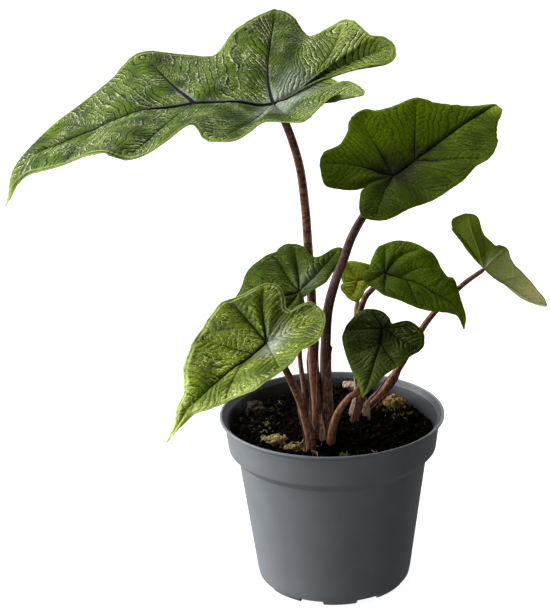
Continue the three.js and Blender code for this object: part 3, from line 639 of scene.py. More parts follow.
def vein_facts(leaf, points):
    """Every distance and count that the shape and the finish of a blade need."""
    veins, margins = vein_lines(leaf)
    far, none = np.full(len(points), FAR), np.zeros(len(points))
    rib, groove, zone, near, near_along, own_share = far, far, none, far, none, none + 1
    for number, (line, dark) in enumerate(veins):
        gap, along = from_line(points, line)
        length, full = lengths_along(line)[-1], min(dark, 1)
        left_over = np.clip(1 - along / length, 0, 1)
        rib = np.minimum(rib, gap - leaf["vein"] * (dark * (0.1 + 0.9 * left_over**0.8) - 0.25))
        groove = np.minimum(groove, gap / (0.4 + 0.6 * full))
        width = np.clip(1 - along / (0.85 * length), 0.001, 1) * full
        near_vein = np.clip(1 - gap / (leaf["zone"] * width), 0, 1)
        zone = np.maximum(zone, near_vein * np.clip(width * 1.6, 0, 1))
        if number > 0:
            nearer = gap < near
            near, near_along = np.where(nearer, gap, near), np.where(nearer, along, near_along)
            from_joint = abs(line[0]).max() < 1e-6
            own = leaf["own_reach"] * (2.2 if from_joint else 1.0)
            own_share = np.where(nearer, gap / own, own_share)
    sway = 0.3 * rumple(points, 7.0, 21) + 0.13 * rumple(points, 2.6, 22)
    branch = (near_along - 0.75 * near - 0.01 * near**2) / leaf["branch_gap"] + sway
    edge = np.minimum(*(from_line(points, line)[0] for line in margins))
    return SimpleNamespace(edge=edge, rib=rib, groove=groove, zone=zone, own_share=own_share,
                           branch=branch, sway=sway)


print("Vein measuring ready")

# %% [markdown]
# ## Building a blade
# Each half is a grid whose rows follow the veins, so a main vein always lies on a row of
# points and stays crisp. The two halves are joined and welded along the midrib, and Solidify
# gives the blade its half millimetre, with a second finish for the underside.

# %% Rows of a half leaf
def leaf_rows(leaf, key, feet):
    """The vein count of each grid row, and how many main veins start at the joint."""
    flat_at, marks = leaf_half(leaf, key)
    rows, fans = [], 0
    while marks[fans + 1][1] == 0:
        edge = flat_at(np.linspace(fans, fans + 0.9999, 200), np.ones(200))[0]
        count = max(4, round(lengths_along(edge)[-1] / leaf["step"]))
        rows += [fans + k / count for k in range(count)]
        fans += 1
    rows.append(float(fans))
    for foot in feet:
        i = next(k for k in range(fans, len(marks) - 1) if foot <= marks[k + 1][1] + 1e-6)
        share = (foot - marks[i][1]) / (marks[i + 1][1] - marks[i][1])
        rows.append(min(i + share, len(marks) - 1.0))
    return np.array(rows), fans


def side_vein_count(leaf, fans, s, sector, foot, out):
    """Passes a whole number at each side vein that starts from the midrib."""
    count = (foot + 0.5 * out * (s - sector) ** 2) / leaf["main_gap"]
    return np.where(sector < fans, 0.0, count)


def add_uv(piece, name, first, second):
    layer = piece.data.uv_layers.new(name=name)
    layer.data.foreach_set("uv", np.stack([first, second], axis=1).astype(np.float32).ravel())


print("Leaf rows ready")

# %% Blades
BLADE_THICKNESS = 0.45


def half_piece(name, leaf, key, feet, place):
    """One half of a blade, with its relief and all that its finish reads."""
    flat_at, marks = leaf_half(leaf, key)
    rows, fans = leaf_rows(leaf, key, feet)
    piece, row, ring = grid_of(f"{name}_{key}", len(rows) - 1, leaf["rings"])
    s, r = rows[row], ring / leaf["rings"]
    flat, foot, out = flat_at(s, r)
    facts = vein_facts(leaf, flat[:, :2])
    sector = np.minimum(np.floor(s).astype(int), len(marks) - 2)
    main = side_vein_count(leaf, fans, s, sector, foot, out)
    fan = np.where(s <= fans, 1.0, 1 - eased(facts.own_share, 0.6, 1.15))

    puff = (1 - fan) * np.abs(np.sin(math.pi * (main + facts.sway))) ** 0.8
    puff += fan * np.abs(np.sin(math.pi * facts.branch)) ** 0.8
    calm = eased(facts.groove, 0.2, 2.6) * eased(facts.edge, 0.2, 3.5)
    flat[:, 2] += (
        leaf["pillow"] * puff * calm
        - 0.4 * np.exp(-((facts.groove / 0.9) ** 2)) * eased(facts.edge, 0.5, 4)
        + 0.3 * rumple(flat[:, :2], 8.0, 3) * eased(facts.edge, 0.0, 3.0))
    flat[:, :2] *= 1 + (0.004 * rumple(flat[:, :2], 2.2, 9) * (r > 0.999))[:, None]
    move_points(piece, place(flat))
    if key == "right":
        piece.data.flip_normals()

    corners = np.empty(len(piece.data.loops), dtype=int)
    piece.data.loops.foreach_get("vertex_index", corners)
    first = row[corners.reshape(-1, 4)].min(axis=1)
    middle = (rows[first] + rows[first + 1]) / 2
    sector = np.repeat(np.minimum(np.floor(middle).astype(int), len(marks) - 2), 4)
    count = side_vein_count(leaf, fans, s[corners], sector, foot[corners], out[corners])
    add_uv(piece, "flat", flat[corners, 0], flat[corners, 1])
    add_uv(piece, "veins", count + facts.sway[corners], facts.branch[corners])
    for name, values in {
        "rib": facts.rib, "zone": facts.zone, "edge": facts.edge, "fan": fan,
        "reach": flat[:, 0] / leaf["tip"], "spread": np.hypot(flat[:, 0], flat[:, 1]),
    }.items():
        layer = piece.data.attributes.new(name, "FLOAT", "POINT")
        layer.data.foreach_set("value", values.astype(np.float32))
    return piece


def blade(number, top, under):
    """A whole blade: two halves on common rows along the midrib, welded and thickened."""
    leaf = LEAVES[number]
    place = leaf_placer(leaf)
    veins = leaf["left_veins"] + leaf["right_veins"]
    fixed = sorted({0, leaf["tip"], *(vein[1] for vein in veins)})
    feet = []
    for low, high in zip(fixed, fixed[1:]):
        count = max(1, round((high - low) / leaf["step"]))
        feet += [low + (high - low) * k / count for k in range(1, count + 1)]
    halves = [half_piece(f"blade_{number}", leaf, key, feet, place) for key in ("left", "right")]
    piece = join(f"blade_{number}", halves)
    weld(piece, 0.04)
    piece.data.materials.append(top)
    piece.data.materials.append(under)
    apply_modifier(
        piece, "SOLIDIFY", thickness=BLADE_THICKNESS * MM, offset=0.0, material_offset=1)
    smooth(piece, 55)
    hand_over(piece, leaf["slot"], f"leaf_{number}")


print("Blade building ready")

# %% [markdown]
# ## The finish of a leaf
# Seen from a step away, an alocasia blade is four things at once: a green that drifts from
# fresh to deep, dark purple main veins with a paler or darker zone along them, fine dark side
# veins in grooves, and a silvery net of tiny raised cells. All four are drawn from the leaf's
# own measures, and the cells also drive the bump. Light and shade are painted on as well: the
# net is partly its real silvering and partly a painted highlight, with a painted shadow beside
# it, each side vein gets a painted highlight on one side and painted shade in its groove, one
# side of the blade gets painted light, and the bright leaves a painted sheen around the joint.

# %% Parts of the leaf finish
def either(first, second, share):
    """The first of two values, drifting to the second as share grows."""
    return first + (second - first) * share


def highlight_band(f, run):
    """A band beside each side vein, on one side of it only, for a painted highlight."""
    part = f.maths("FRACT", run)
    return f.ease(part, 0.05, 0.11) * f.ease(part, 0.15, 0.28, 1.0, 0.0)


def net_lines(f, vector, scale, width):
    return f.ease(f.cells(vector, scale, "DISTANCE_TO_EDGE"), 0.01, width, 1.0, 0.0)


def side_of(along, across, way):
    """How far a place lies to the side that way names, which is a direction and a shift."""
    return along * way[0] + across * way[1] + way[2]


print("Leaf patterns ready")

# %% Leaf finish
def leaf_finish(name, looks):
    f = Finish(name)
    look = SimpleNamespace(**looks)
    flat, counts = (f.node("ShaderNodeUVMap", {"uv_map": key}) for key in ("flat", "veins"))
    along, across = f.axis(flat, 0), f.axis(flat, 1)
    rib, zone, edge, fan, reach, spread = (
        f.value_of(key) for key in ("rib", "zone", "edge", "fan", "reach", "spread"))

    drift = f.noise(flat, 0.07, 2.0)
    patch = f.ease(f.noise(flat, 0.06, 1.0, 0.5, stretch=(1.0, 1.4, 1.0)), 0.42, 0.56)
    grain = f.noise(flat, 0.9)
    cloud = f.ease(f.noise(flat, 0.8, 2.0), 0.35, 0.65, 0.6, 1.0)
    wander = (f.noise(flat, 0.6, 2.0, 0.5) - 0.5) * 0.4
    runs = [f.axis(counts, k) + wander for k in (0, 1)]
    side = either(*(f.maths("PINGPONG", run, 0.5) for run in runs), fan)
    crest = either(*(highlight_band(f, run) for run in runs), fan)

    # The net is drawn twice, the second copy shifted a little: the pale lines are the cells'
    # silvering and a painted highlight, the dark lines their veinlets and a painted shadow.
    drag = f.vectors("MULTIPLY", f.noise(flat, 0.35, 2.0, 0.5, out=1), (1.8, 1.8, 1.8))
    bent = f.vectors("ADD", flat, drag)
    beside = f.vectors("ADD", bent, (0.28, 0.34, 0.0))
    silver_net_and_highlight = net_lines(f, bent, look.cell, look.net_width)
    dark_net = net_lines(f, beside, look.cell, look.net_width * 1.6)
    speck = f.ease(f.noise(bent, 0.8, 2.0), 0.44, 0.58)

    inner = f.ease(edge, 0.6, 2.2)
    blade_only = f.ease(rib, 0.1, 1.3)
    late = f.ease(reach, 0.9, 0.99, 1.0, 0.0)
    late = late * f.ease(along, look.lines_from, look.lines_from + 12.0)
    thin = f.ease(side, 0.02, look.side_width, 1.0, 0.0) * inner * late
    # Painted light on one side of the blade.
    painted_light_side = f.ease(side_of(along, across, look.lit_way), -12.0, 30.0)
    # Painted shade in the grooves beside the side veins.
    valley = f.ease(side, 0.0, 0.3, 1.0, 0.0) * blade_only * late
    shadow = dark_net * (patch * 0.6 + 0.4) * inner
    silver = silver_net_and_highlight * (speck * 0.7 + 0.3) * (patch * 0.85 + 0.15) * inner * (1 - thin)
    # A painted highlight along one side of each side vein.
    streak = crest * (speck * 0.65 + 0.3) * (patch * 0.8 + 0.2) * inner * blade_only * late
    haze = f.ease(zone, 0.05, 0.9) * cloud * (patch * 0.4 + 0.6)
    # Around the joint: a painted sheen on the bright looks, a dark tint on the deep ones.
    heart = f.ease(spread, 1.5, look.heart_reach, 1.0, 0.0) * cloud
    heart = heart * f.ease(side_of(along, across, look.heart_way), -6.0, 8.0)
    lined = f.ease(across, -1.0, 1.0, look.hem, look.hem * look.hem_left)
    rim_line = f.ease(edge, 1.1, 1.6) * f.ease(edge, 1.9, 2.5, 1.0, 0.0)
    green = f.layered(
        look.deep, (f.ease(drift, 0.32, 0.68), look.fresh), (painted_light_side * look.lit_amount, look.lit),
        (f.ease(grain, 0.35, 0.7) * 0.45, look.deep),
        (valley * look.valley, look.deep), (shadow * look.dark_net, look.vein),
        (silver * look.net, look.silver), (streak * look.crest, look.silver),
        (thin * look.side, look.vein), (haze * look.zone_amount, look.zone),
        (heart * look.heart_amount, look.heart), (f.ease(rib, -0.1, 0.4, 1.0, 0.0), look.vein),
        (f.ease(reach, look.tip_from, 1.0) * 0.9, look.tip),
        (rim_line * lined * 0.8, look.hem_tone),
        (f.ease(edge, 0.1, 0.8, 1.0, 0.0) * lined, look.hem_tone))

    cell = f.cells(bent, look.cell)
    beads = f.ease(cell, 0.0, 0.8, 1.0, 0.0) * 0.5 + silver_net_and_highlight * 0.25 - dark_net * 0.2
    puff = f.ease(side, 0.0, 0.3) * late * (0.5 * look.side_bump)
    relief = puff + beads * look.bead_bump + grain * 0.05
    relief = relief * f.ease(rib, -0.2, 1.4) * f.ease(edge, 0.1, 1.4, 0.25, 1.0)
    rough = f.ease(grain, 0.3, 0.7, look.rough - 0.05, look.rough + 0.1)
    return f.finish(green, rough, look.shine, relief, {"Specular Tint": (0.8, 0.92, 0.5, 1.0)})


print("Leaf finish ready")

# %% [markdown]
# ## Eight looks
# The leaves differ with their age and with the light that reaches them, from a pale green to
# nearly black. Eight materials could be built one by one, but one finish with a look for each
# leaf keeps their patterns alike. `deep` and `fresh` are a look's two greens,
# `silver` its silvery net with the painted highlights on it and beside the side
# veins, and `vein` its veins. `zone` is the haze along the main veins, and
# `heart` the colour around the joint: a painted sheen on the bright leaves and a
# dark tint on the deep ones. `tip` and `hem_tone` are the tip and the margin, and
# `lit` is painted light on one side. `lit_way` and `heart_way` say on which side the
# painted light and the colour around the joint lie. Every look after the first starts from
# another one and names only what differs.

# %% Looks of the eight leaves
BRIGHT = dict(
    deep=tone(34, 56, 1), fresh=tone(90, 116, 1), silver=tone(206, 212, 156), vein=tone(9, 8, 12),
    zone=tone(144, 152, 148), heart=tone(166, 174, 168), tip=tone(140, 158, 50),
    hem_tone=tone(146, 162, 84), cell=0.5, side_width=0.12, net=0.4, net_width=0.11, dark_net=0.6,
    valley=0.8, crest=1.0, side=0.95, zone_amount=0.75, heart_amount=0.7, heart_reach=32.0,
    heart_way=(-0.8, 0.3, 2.0), tip_from=0.84, hem=0.6, hem_left=1.0, side_bump=0.55,
    bead_bump=0.35, lit=tone(142, 160, 60), lit_way=(-1.0, 0.0, -24.0), lit_amount=0.55,
    rough=0.5, shine=0.06, lines_from=-60.0)
GLOSSY = dict(
    BRIGHT, deep=tone(66, 86, 1), fresh=tone(130, 152, 1), silver=tone(212, 222, 112),
    zone=tone(50, 64, 14), zone_amount=0.55, heart=tone(196, 198, 190), heart_reach=19.0,
    heart_amount=0.9, heart_way=(-0.5, 0.9, -1.0), side_width=0.11, valley=0.5,
    tip=tone(200, 210, 96), tip_from=0.68, hem=0.95, hem_left=0.4, hem_tone=tone(172, 188, 104),
    cell=0.42, net=0.9, net_width=0.1, dark_net=0.8, bead_bump=0.5, rough=0.34, crest=0.55,
    side=0.6, shine=0.25, lit=tone(186, 198, 120), lit_way=(0.8, 1.0, -48.0), lit_amount=0.9)
DEEP = dict(
    BRIGHT, deep=tone(50, 68, 1), fresh=tone(78, 100, 2), silver=tone(112, 136, 34),
    vein=tone(20, 16, 8), zone=tone(32, 27, 20), heart=tone(42, 38, 32), tip=tone(170, 186, 50),
    hem_tone=tone(84, 106, 20), net=0.8, net_width=0.14, dark_net=0.55, crest=0.3, side=0.35,
    valley=0.3, zone_amount=0.95, heart_amount=0.95, heart_reach=24.0, heart_way=(0.0, 0.0, 8.0),
    tip_from=0.74, hem=0.5, side_bump=0.15, bead_bump=0.32, rough=0.55, shine=0.03,
    side_width=0.18, cell=0.62, lit=tone(122, 154, 2), lit_way=(0.0, 1.0, -1.0), lit_amount=0.9)
SHADED = dict(
    DEEP, deep=tone(42, 60, 1), fresh=tone(82, 106, 3), silver=tone(170, 186, 90),
    vein=tone(16, 14, 8), zone=tone(34, 40, 14), heart=tone(142, 146, 128), heart_reach=20.0,
    heart_way=(-1.0, 0.0, -2.0), heart_amount=0.6, net=0.45, net_width=0.11, crest=0.9, side=0.6,
    valley=0.45, zone_amount=0.4, rough=0.5, shine=0.05, side_width=0.12, side_bump=0.4,
    bead_bump=0.25, tip=tone(124, 140, 26), tip_from=0.88, cell=0.5, lit_amount=0.0)
NIGHT = dict(
    SHADED, deep=tone(22, 32, 1), fresh=tone(60, 76, 3), silver=tone(150, 164, 96),
    heart=tone(14, 12, 8), heart_way=(0.0, 0.0, 8.0), heart_reach=12.0, zone=tone(14, 13, 6),
    net=0.12, crest=0.6, lit=tone(124, 142, 52), lit_way=(1.0, 0.0, -20.0), lit_amount=0.7)
OLIVE = dict(
    DEEP, deep=tone(66, 88, 1), fresh=tone(104, 130, 3), silver=tone(112, 132, 40), net=0.4,
    valley=0.15, zone=tone(40, 44, 8), zone_amount=0.6, side_bump=0.2,
    tip=tone(118, 138, 10), tip_from=0.7, heart_amount=0.5, heart_reach=12.0, side_width=0.12,
    lit_amount=0.0)
FADED = dict(
    OLIVE, deep=tone(62, 76, 2), fresh=tone(88, 104, 5), tip=tone(158, 160, 108), tip_from=-0.15,
    side=0.3, heart=tone(96, 106, 76), heart_reach=16.0, heart_way=(0.6, 0.0, 2.0))
PALE = dict(
    OLIVE, deep=tone(116, 134, 14), fresh=tone(160, 174, 50), silver=tone(188, 196, 104),
    vein=tone(84, 92, 18), zone=tone(124, 138, 30), side=0.25, zone_amount=0.3,
    heart_amount=0.0)
print("Leaf looks ready")

# %% [markdown]
# ## The underside
# Underneath, the blade is paler and duller. Its back lobes are still a plain green, and the
# colour fades to a dry grey green towards the tip. The veins are thin and dark.

# %% Underside finish
def underside_finish(name, lobe, body, end, vein):
    """Three greens, one after another from the back lobes to the tip, with fine veins."""
    f = Finish(name)
    flat = f.node("ShaderNodeUVMap", {"uv_map": "flat"})
    rib, edge, reach = f.value_of("rib"), f.value_of("edge"), f.value_of("reach")
    grain = f.noise(flat, 1.2)
    place = reach + (f.noise(flat, 0.1) - 0.5) * 0.3
    small = f.ease(f.cells(flat, 0.5, "DISTANCE_TO_EDGE"), 0.0, 0.1, 0.35, 0.0)
    green = f.layered(
        lobe, (f.ease(place, -0.22, 0.02), body), (f.ease(place, 0.2, 0.75), end),
        (f.ease(grain, 0.4, 0.7) * 0.25, vein), (small * f.ease(edge, 0.5, 2.0), vein),
        (f.ease(rib, -0.25, 0.2, 0.85, 0.0), vein), (f.ease(edge, 0.2, 0.9, 0.35, 0.0), vein))
    return f.finish(green, 0.55, 0.2, f.ease(rib, -0.4, 0.6, 0.25, 0.0) + grain * 0.12)


under_pale = underside_finish(
    "leaf_underside", tone(92, 112, 2), tone(156, 168, 92), tone(222, 218, 136), tone(52, 54, 22))
under_deep = underside_finish(
    "leaf_underside_deep", tone(88, 108, 46), tone(92, 112, 54), tone(110, 124, 66),
    tone(58, 44, 36))
print("Underside finishes ready")

# %% [markdown]
# ## Eight blades
# The oldest leaf and the low front one are bright and shiny, the others darker. Every one is
# built by the same steps, with its own looks. Only leaf 7 turns its underside to the front.

# %% Build the blades
looks_in_order = [BRIGHT, DEEP, GLOSSY, SHADED, OLIVE, NIGHT, FADED, PALE]
for number, looks in enumerate(looks_in_order, start=1):
    under = under_pale if number == 7 else under_deep
    blade(number, leaf_finish(f"leaf_top_{number}", looks), under)

# %% [markdown]
# ## Leaf stalks
# Each stalk is a grid rolled into a tube along the CAD model's own route. It is a little
# ribbed, thicker at its foot, and thins out where it runs into the underside of its blade.
# The table gives the radius at the foot and at the blade, and the points of the route.

# %% Stalk table
STALKS = {
    1: ((2.7, 2), [(-8, -19, 64), (-8, -18, 87), (-8.5, -16, 113), (-9.5, -12, 130),
        (-9.5, 2, 158), (-11, 8.5, 188), (-12, 8, 207), (-14.5, 3, 231), (-20.5, -5, 254)]),
    2: ((3, 1.9), [(-2.5, -12, 64), (-2.5, -12.5, 93), (-2.5, -14, 108), (-3, -15.5, 125),
        (-2.5, -17.5, 140.5), (-1, -18.5, 159.5), (3.5, -18.5, 176.5), (7.5, -16, 186),
        (11.5, -11, 195.5), (17.5, -1.5, 203.5), (26, 10, 211)]),
    3: ((2.5, 1.5), [(-11.5, -29, 64), (-11.5, -30, 90), (-13.5, -33, 104), (-15.5, -37, 115),
        (-18.5, -43, 126), (-22.5, -53, 140), (-26.5, -63, 152.5)]),
    4: ((1.5, 1.1), [(-14, -21, 64), (-12.5, -22, 94), (-14, -23, 116), (-16, -22, 136),
        (-15.5, -20, 155), (-14, -18.5, 163)]),
    5: ((2.7, 1.3), [(10, 7, 64), (12, 9, 88), (15.5, 13, 102), (15, 15, 119), (14, 14, 137),
        (16, 12, 148), (19, 9, 157), (22.5, 6.5, 162)]),
    6: ((2.2, 1.2), [(-1, -22, 64), (-0.5, -23, 89), (2.5, -27, 104), (8.5, -33, 116),
        (13.5, -33, 120.5), (18, -25, 128), (23, -14, 136)]),
    7: ((2.4, 1.2), [(16, 17, 64), (18, 18.5, 86), (23, 21, 92.5), (29, 23, 98.5), (38, 25, 112),
        (53, 27, 137), (70, 28, 155)]),
    8: ((1.8, 1.1), [(11, 25, 64), (14, 26, 92), (14, 30, 114), (14, 33, 138), (15, 34, 147)]),
}
print(len(STALKS), "stalks")

# %% Rolling a tube
SOIL_LEVEL = 86
FOOT_SWELL, SWELL_HEIGHT = 0.22, 9      # how much thicker a stalk is at the soil, and how far up


def sideways(ahead, angle):
    """The direction square to ahead that lies at an angle around it."""
    side = unit(np.cross(ahead, np.array([0.15, 1.0, 0.05])))
    up = np.cross(ahead, side)
    return side * np.cos(angle)[:, None] + up * np.sin(angle)[:, None]


def tube(name, centres, radii, sides, ribs=0.0):
    """A closed tube around a row of centres, with a radius for each."""
    count = len(centres)
    piece, row, ring = grid_of(name, count + 1, sides)
    at = np.clip(row - 1, 0, count - 1)
    ahead = unit(np.gradient(centres, axis=0))
    angle = 2 * math.pi * ring / sides
    closed = (row == 0) | (row == count + 1)
    radius = np.where(closed, 0.0, radii[at] * (1 + ribs * np.cos(5 * angle + at * 0.01)))
    move_points(piece, centres[at] + sideways(ahead[at], angle) * radius[:, None])
    weld(piece, 0.004)
    outward(piece)
    return piece


def stalk_line(number, share):
    """Centres and radii of a stalk, at shares of its length."""
    (foot_radius, end_radius), path = STALKS[number]
    line = path_through([*path, LEAVES[number]["joint"]], np.linspace(0, 1, 600))
    along = lengths_along(line)
    centres = read_along(share * along[-1], along, line)
    radius = foot_radius + (end_radius - foot_radius) * share**1.3
    above = np.clip(centres[:, 2] - SOIL_LEVEL, 0, 90)
    return centres, radius * (1 + FOOT_SWELL * np.exp(-above / SWELL_HEIGHT))


print("Tubes ready")

# %% [markdown]
# ## The finish of a stalk
# The stalks are a warm brown purple with darker blotches that lie across them, like a snake's
# skin, and long paler streaks near the foot where dry layers wrap them.

# %% Stalk finish
def stalk_finish(name, base, dark, pale, blotch, streak):
    f = Finish(name)
    place = f.object_place()
    low = f.ease(f.axis(place, 2), 100.0, 165.0, 1.0, 0.0)
    drift = f.noise(place, 0.12, 2.0)
    skin = f.noise(place, 0.62, 2.0, 0.55, stretch=(0.55, 0.55, 1.0))
    lines = f.noise(place, 1.1, 3.0, 0.65, stretch=(1.0, 1.0, 0.06))
    grain = f.noise(place, 2.4)
    coat = f.layered(
        base, (f.ease(drift, 0.35, 0.65), pale), (f.ease(grain, 0.4, 0.65) * 0.35, dark),
        (f.ease(skin, 0.5, 0.6) * blotch * (1 - low * 0.5), dark),
        (f.ease(lines, 0.5, 0.62) * low * streak, pale),
        (f.ease(lines, 0.36, 0.46, 1.0, 0.0) * low * 0.75, dark))
    return f.finish(coat, f.ease(grain, 0.3, 0.7, 0.42, 0.6), 0.22, grain * 0.12 + lines * 0.25)


stalk_brown = stalk_finish(
    "stalk_brown", tone(124, 74, 50), tone(50, 28, 22), tone(152, 106, 80), 0.8, 0.7)
stalk_dark = stalk_finish(
    "stalk_dark", tone(84, 54, 46), tone(44, 28, 26), tone(108, 78, 66), 0.5, 0.5)
stalk_green = stalk_finish(
    "stalk_green", tone(150, 140, 92), tone(110, 92, 56), tone(170, 164, 116), 0.35, 0.4)
STALK_COATS = {2: stalk_dark, 8: stalk_green}
STALK_RINGS, STALK_SIDES, STALK_RIBS = 110, 20, 0.035
THIN_FROM = {2: 0.98, 6: 0.84}      # flat blades that a thick stalk's end would poke through

for number in STALKS:
    share = np.linspace(0.0, 0.997, STALK_RINGS)
    centres, radius = stalk_line(number, share)
    thin_end = 1 - 0.8 * eased(share, THIN_FROM.get(number, 0.995), 1.0)
    piece = tube(f"stalk_{number}", centres, radius * thin_end, STALK_SIDES, STALK_RIBS)
    slot = "stalk_pale" if number == 8 else "stalk"
    complete(piece, STALK_COATS.get(number, stalk_brown), 60, slot, f"petiole_{number}")

# %% [markdown]
# ## Sheaths at the feet
# The lower third of each older stalk is clasped by a thin sheath, open on one side, that
# ends in a point. It is a strip of grid wrapped part of the way round the stalk.

# %% Sheath finish and strips
def paper_finish(name, base, dark, pale):
    f = Finish(name)
    place = f.object_place()
    lines = f.noise(place, 1.5, 3.0, 0.7, stretch=(1.0, 1.0, 0.07))
    spots = f.noise(place, 0.5)
    paper = f.layered(
        base, (f.ease(lines, 0.4, 0.6), pale), (f.ease(spots, 0.45, 0.62) * 0.8, dark),
        (f.ease(lines, 0.34, 0.44, 0.8, 0.0), dark))
    return f.finish(paper, 0.68, 0.25, lines * 0.35 + spots * 0.2)


sheath_brown = paper_finish(
    "sheath_brown", tone(110, 78, 66), tone(58, 38, 34), tone(146, 112, 94))
husk_tan = paper_finish(
    "husk_tan", tone(150, 118, 88), tone(92, 62, 44), tone(188, 160, 126))


def strip_of(name, rows, rings):
    """A grid, with shares along it from 0 to 1 and across it from -1 to 1."""
    piece, row, ring = grid_of(name, rows, rings)
    return piece, row / rows, ring / (rings / 2) - 1


def sheath(number, low, high, facing, cover):
    """A strip that clasps a stalk from one share of its length to another."""
    piece, share, across = strip_of(f"sheath_{number}", 44, 18)
    centres, radius = stalk_line(number, low + (high - low) * share)
    ahead = unit(stalk_line(number, low + (high - low) * share + 0.01)[0] - centres)
    angle = math.radians(facing) + across * math.radians(cover) * (1 - 0.85 * share**3)
    reach = radius + 0.32 + 0.55 * across**4 * share + 0.12 * np.sin(angle * 9 + share * 5)
    move_points(piece, centres + sideways(ahead, angle) * reach[:, None])
    complete_paper(piece, 0.3, sheath_brown, "stalk")


for strip in [(1, 0.08, 0.40, 250, 150), (2, 0.09, 0.42, 200, 150), (3, 0.14, 0.52, 250, 140),
              (5, 0.16, 0.50, 290, 150), (7, 0.16, 0.42, 250, 140)]:
    sheath(*strip)

# %% [markdown]
# ## Dry husks
# Two papery remains of old leaf bases stand at the feet of the shoots. Their tops are torn,
# so the strip's end row is cut unevenly.

# %% Husks
def husk(number, path, width):
    """A strip with a torn end, bent a little around its stalk."""
    piece, share, across = strip_of(f"husk_{number}", 40, 12)
    tear = 1 - 0.16 * np.abs(np.sin(across * 4.3 + number)) - 0.06 * np.abs(np.sin(across * 11.0))
    spread = width / 2 * across * (1 - 0.6 * (share * tear) ** 3)
    bend = 0.11 * spread**2 + 0.25 * np.sin(share * 9 + across * 2)
    shift = np.stack([spread, bend, np.zeros(len(share))], axis=1)
    move_points(piece, path_through(path, share * tear) + shift)
    complete_paper(piece, 0.35, husk_tan, "husk", f"dry_sheath_{number}")


husk(1, [(-4.7, -21.8, 76), (-4.8, -21.8, 88), (-6, -22, 107)], 3.6)
husk(2, [(18, 7.5, 76), (18.5, 8, 88), (19.5, 9, 102)], 4.8)

# %% [markdown]
# ## The nursery pot
# A thin plastic pot with a stepped collar is a turned shape. Its outline starts as a circle
# of points moved onto the profile, the corners are rounded by a vertex bevel, and the outline
# is spun around the axis. The gaps between the feet and the drain holes are cut afterwards.

# %% Pot outline and spin
SPIN_STEPS, CORNER_RADIUS = 176, 0.3
POT_PROFILE = [
    (0, 0), (20, 0), (22, 3), (33.5, 3), (34.5, 0), (38, 0), (39.5, 1), (41.2, 3.5), (41.9, 7),
    (50.6, 72.2), (55.6, 77.2), (56, 80), (57.4, 92.5), (60, 94.2), (60, 95.35), (58.9, 95.35),
    (56.2, 92.8), (54.4, 80), (54, 78), (49.2, 72.5), (40.7, 7), (39, 4.5), (0, 4.5)]

pot = new_piece("pot_shell", bpy.ops.mesh.primitive_circle_add,
                vertices=len(POT_PROFILE), radius=0.05)
move_points(pot, [(radius, 0.0, height) for radius, height in POT_PROFILE])
for vertex in pot.data.vertices:
    vertex.select = vertex.co.x > MM
for edge in pot.data.edges:
    edge.select = all(pot.data.vertices[v].select for v in edge.vertices)
bpy.ops.object.mode_set(mode="EDIT")
bpy.ops.mesh.select_mode(type="VERT")
bpy.ops.mesh.bevel(offset=CORNER_RADIUS * MM, segments=3, affect="VERTICES", clamp_overlap=True)
bpy.ops.mesh.select_all(action="DESELECT")
bpy.ops.object.mode_set(mode="OBJECT")
for edge in pot.data.edges:
    edge.select = all(pot.data.vertices[v].co.x < 1e-6 for v in edge.vertices)
bpy.ops.object.mode_set(mode="EDIT")
bpy.ops.mesh.select_mode(type="EDGE")
bpy.ops.mesh.delete(type="EDGE")
bpy.ops.mesh.select_mode(type="VERT")
bpy.ops.mesh.select_all(action="SELECT")
bpy.ops.mesh.spin(steps=SPIN_STEPS, angle=2 * math.pi, center=(0, 0, 0), axis=(0, 0, 1))
bpy.ops.object.mode_set(mode="OBJECT")
weld(pot, 0.01)
outward(pot)
print("Pot shell", len(pot.data.polygons), "faces")

# %% Feet and drain holes
GAP_SIZE, GAP_REACH = (14.0, 13.4, 6.6), 38.5      # outwards, around, up, and the axis distance
GAPS, GAP_TURN = 8, 4.1
DRAINS, DRAIN_REACH, DRAIN_RADIUS = 5, 28, 3


def cutter_gap(angle):
    box = new_piece("gap", bpy.ops.mesh.primitive_cube_add, size=1.0)
    x, y, z = (points_of(box) * MM * GAP_SIZE + (GAP_REACH, 0.0, 0.0)).T
    c, s = math.cos(angle), math.sin(angle)
    move_points(box, np.stack([c * x - s * y, s * x + c * y, z], axis=1))
    return box


def cutter_drain(angle):
    drain = new_piece("drain", bpy.ops.mesh.primitive_cylinder_add,
                      vertices=28, radius=DRAIN_RADIUS * MM, depth=8 * MM)
    shift = (DRAIN_REACH * math.cos(angle), DRAIN_REACH * math.sin(angle), 4)
    move_points(drain, points_of(drain) + shift)
    return drain


gap_angles = [-90 + 360 / GAPS * (k + 0.5) + GAP_TURN for k in range(GAPS)]
cutters = [cutter_gap(math.radians(angle)) for angle in gap_angles]
cutters += [cutter_drain(2 * math.pi * k / DRAINS) for k in range(DRAINS)]
cutter = join("pot_cutter", cutters)
apply_modifier(pot, "BOOLEAN", operation="DIFFERENCE", object=cutter, solver="EXACT")
bpy.data.objects.remove(cutter)
print("Pot cut", len(pot.data.polygons), "faces")

# %% [markdown]
# ## Grey plastic
# Moulded plastic is never quite even. It has an orange-peel grain, faint rings from the
# mould, a little dust, and a soft sheen that spreads towards the edges. The inside wall gets a
# darker copy of the plastic, as painted shade from the rim and the leaves above it.

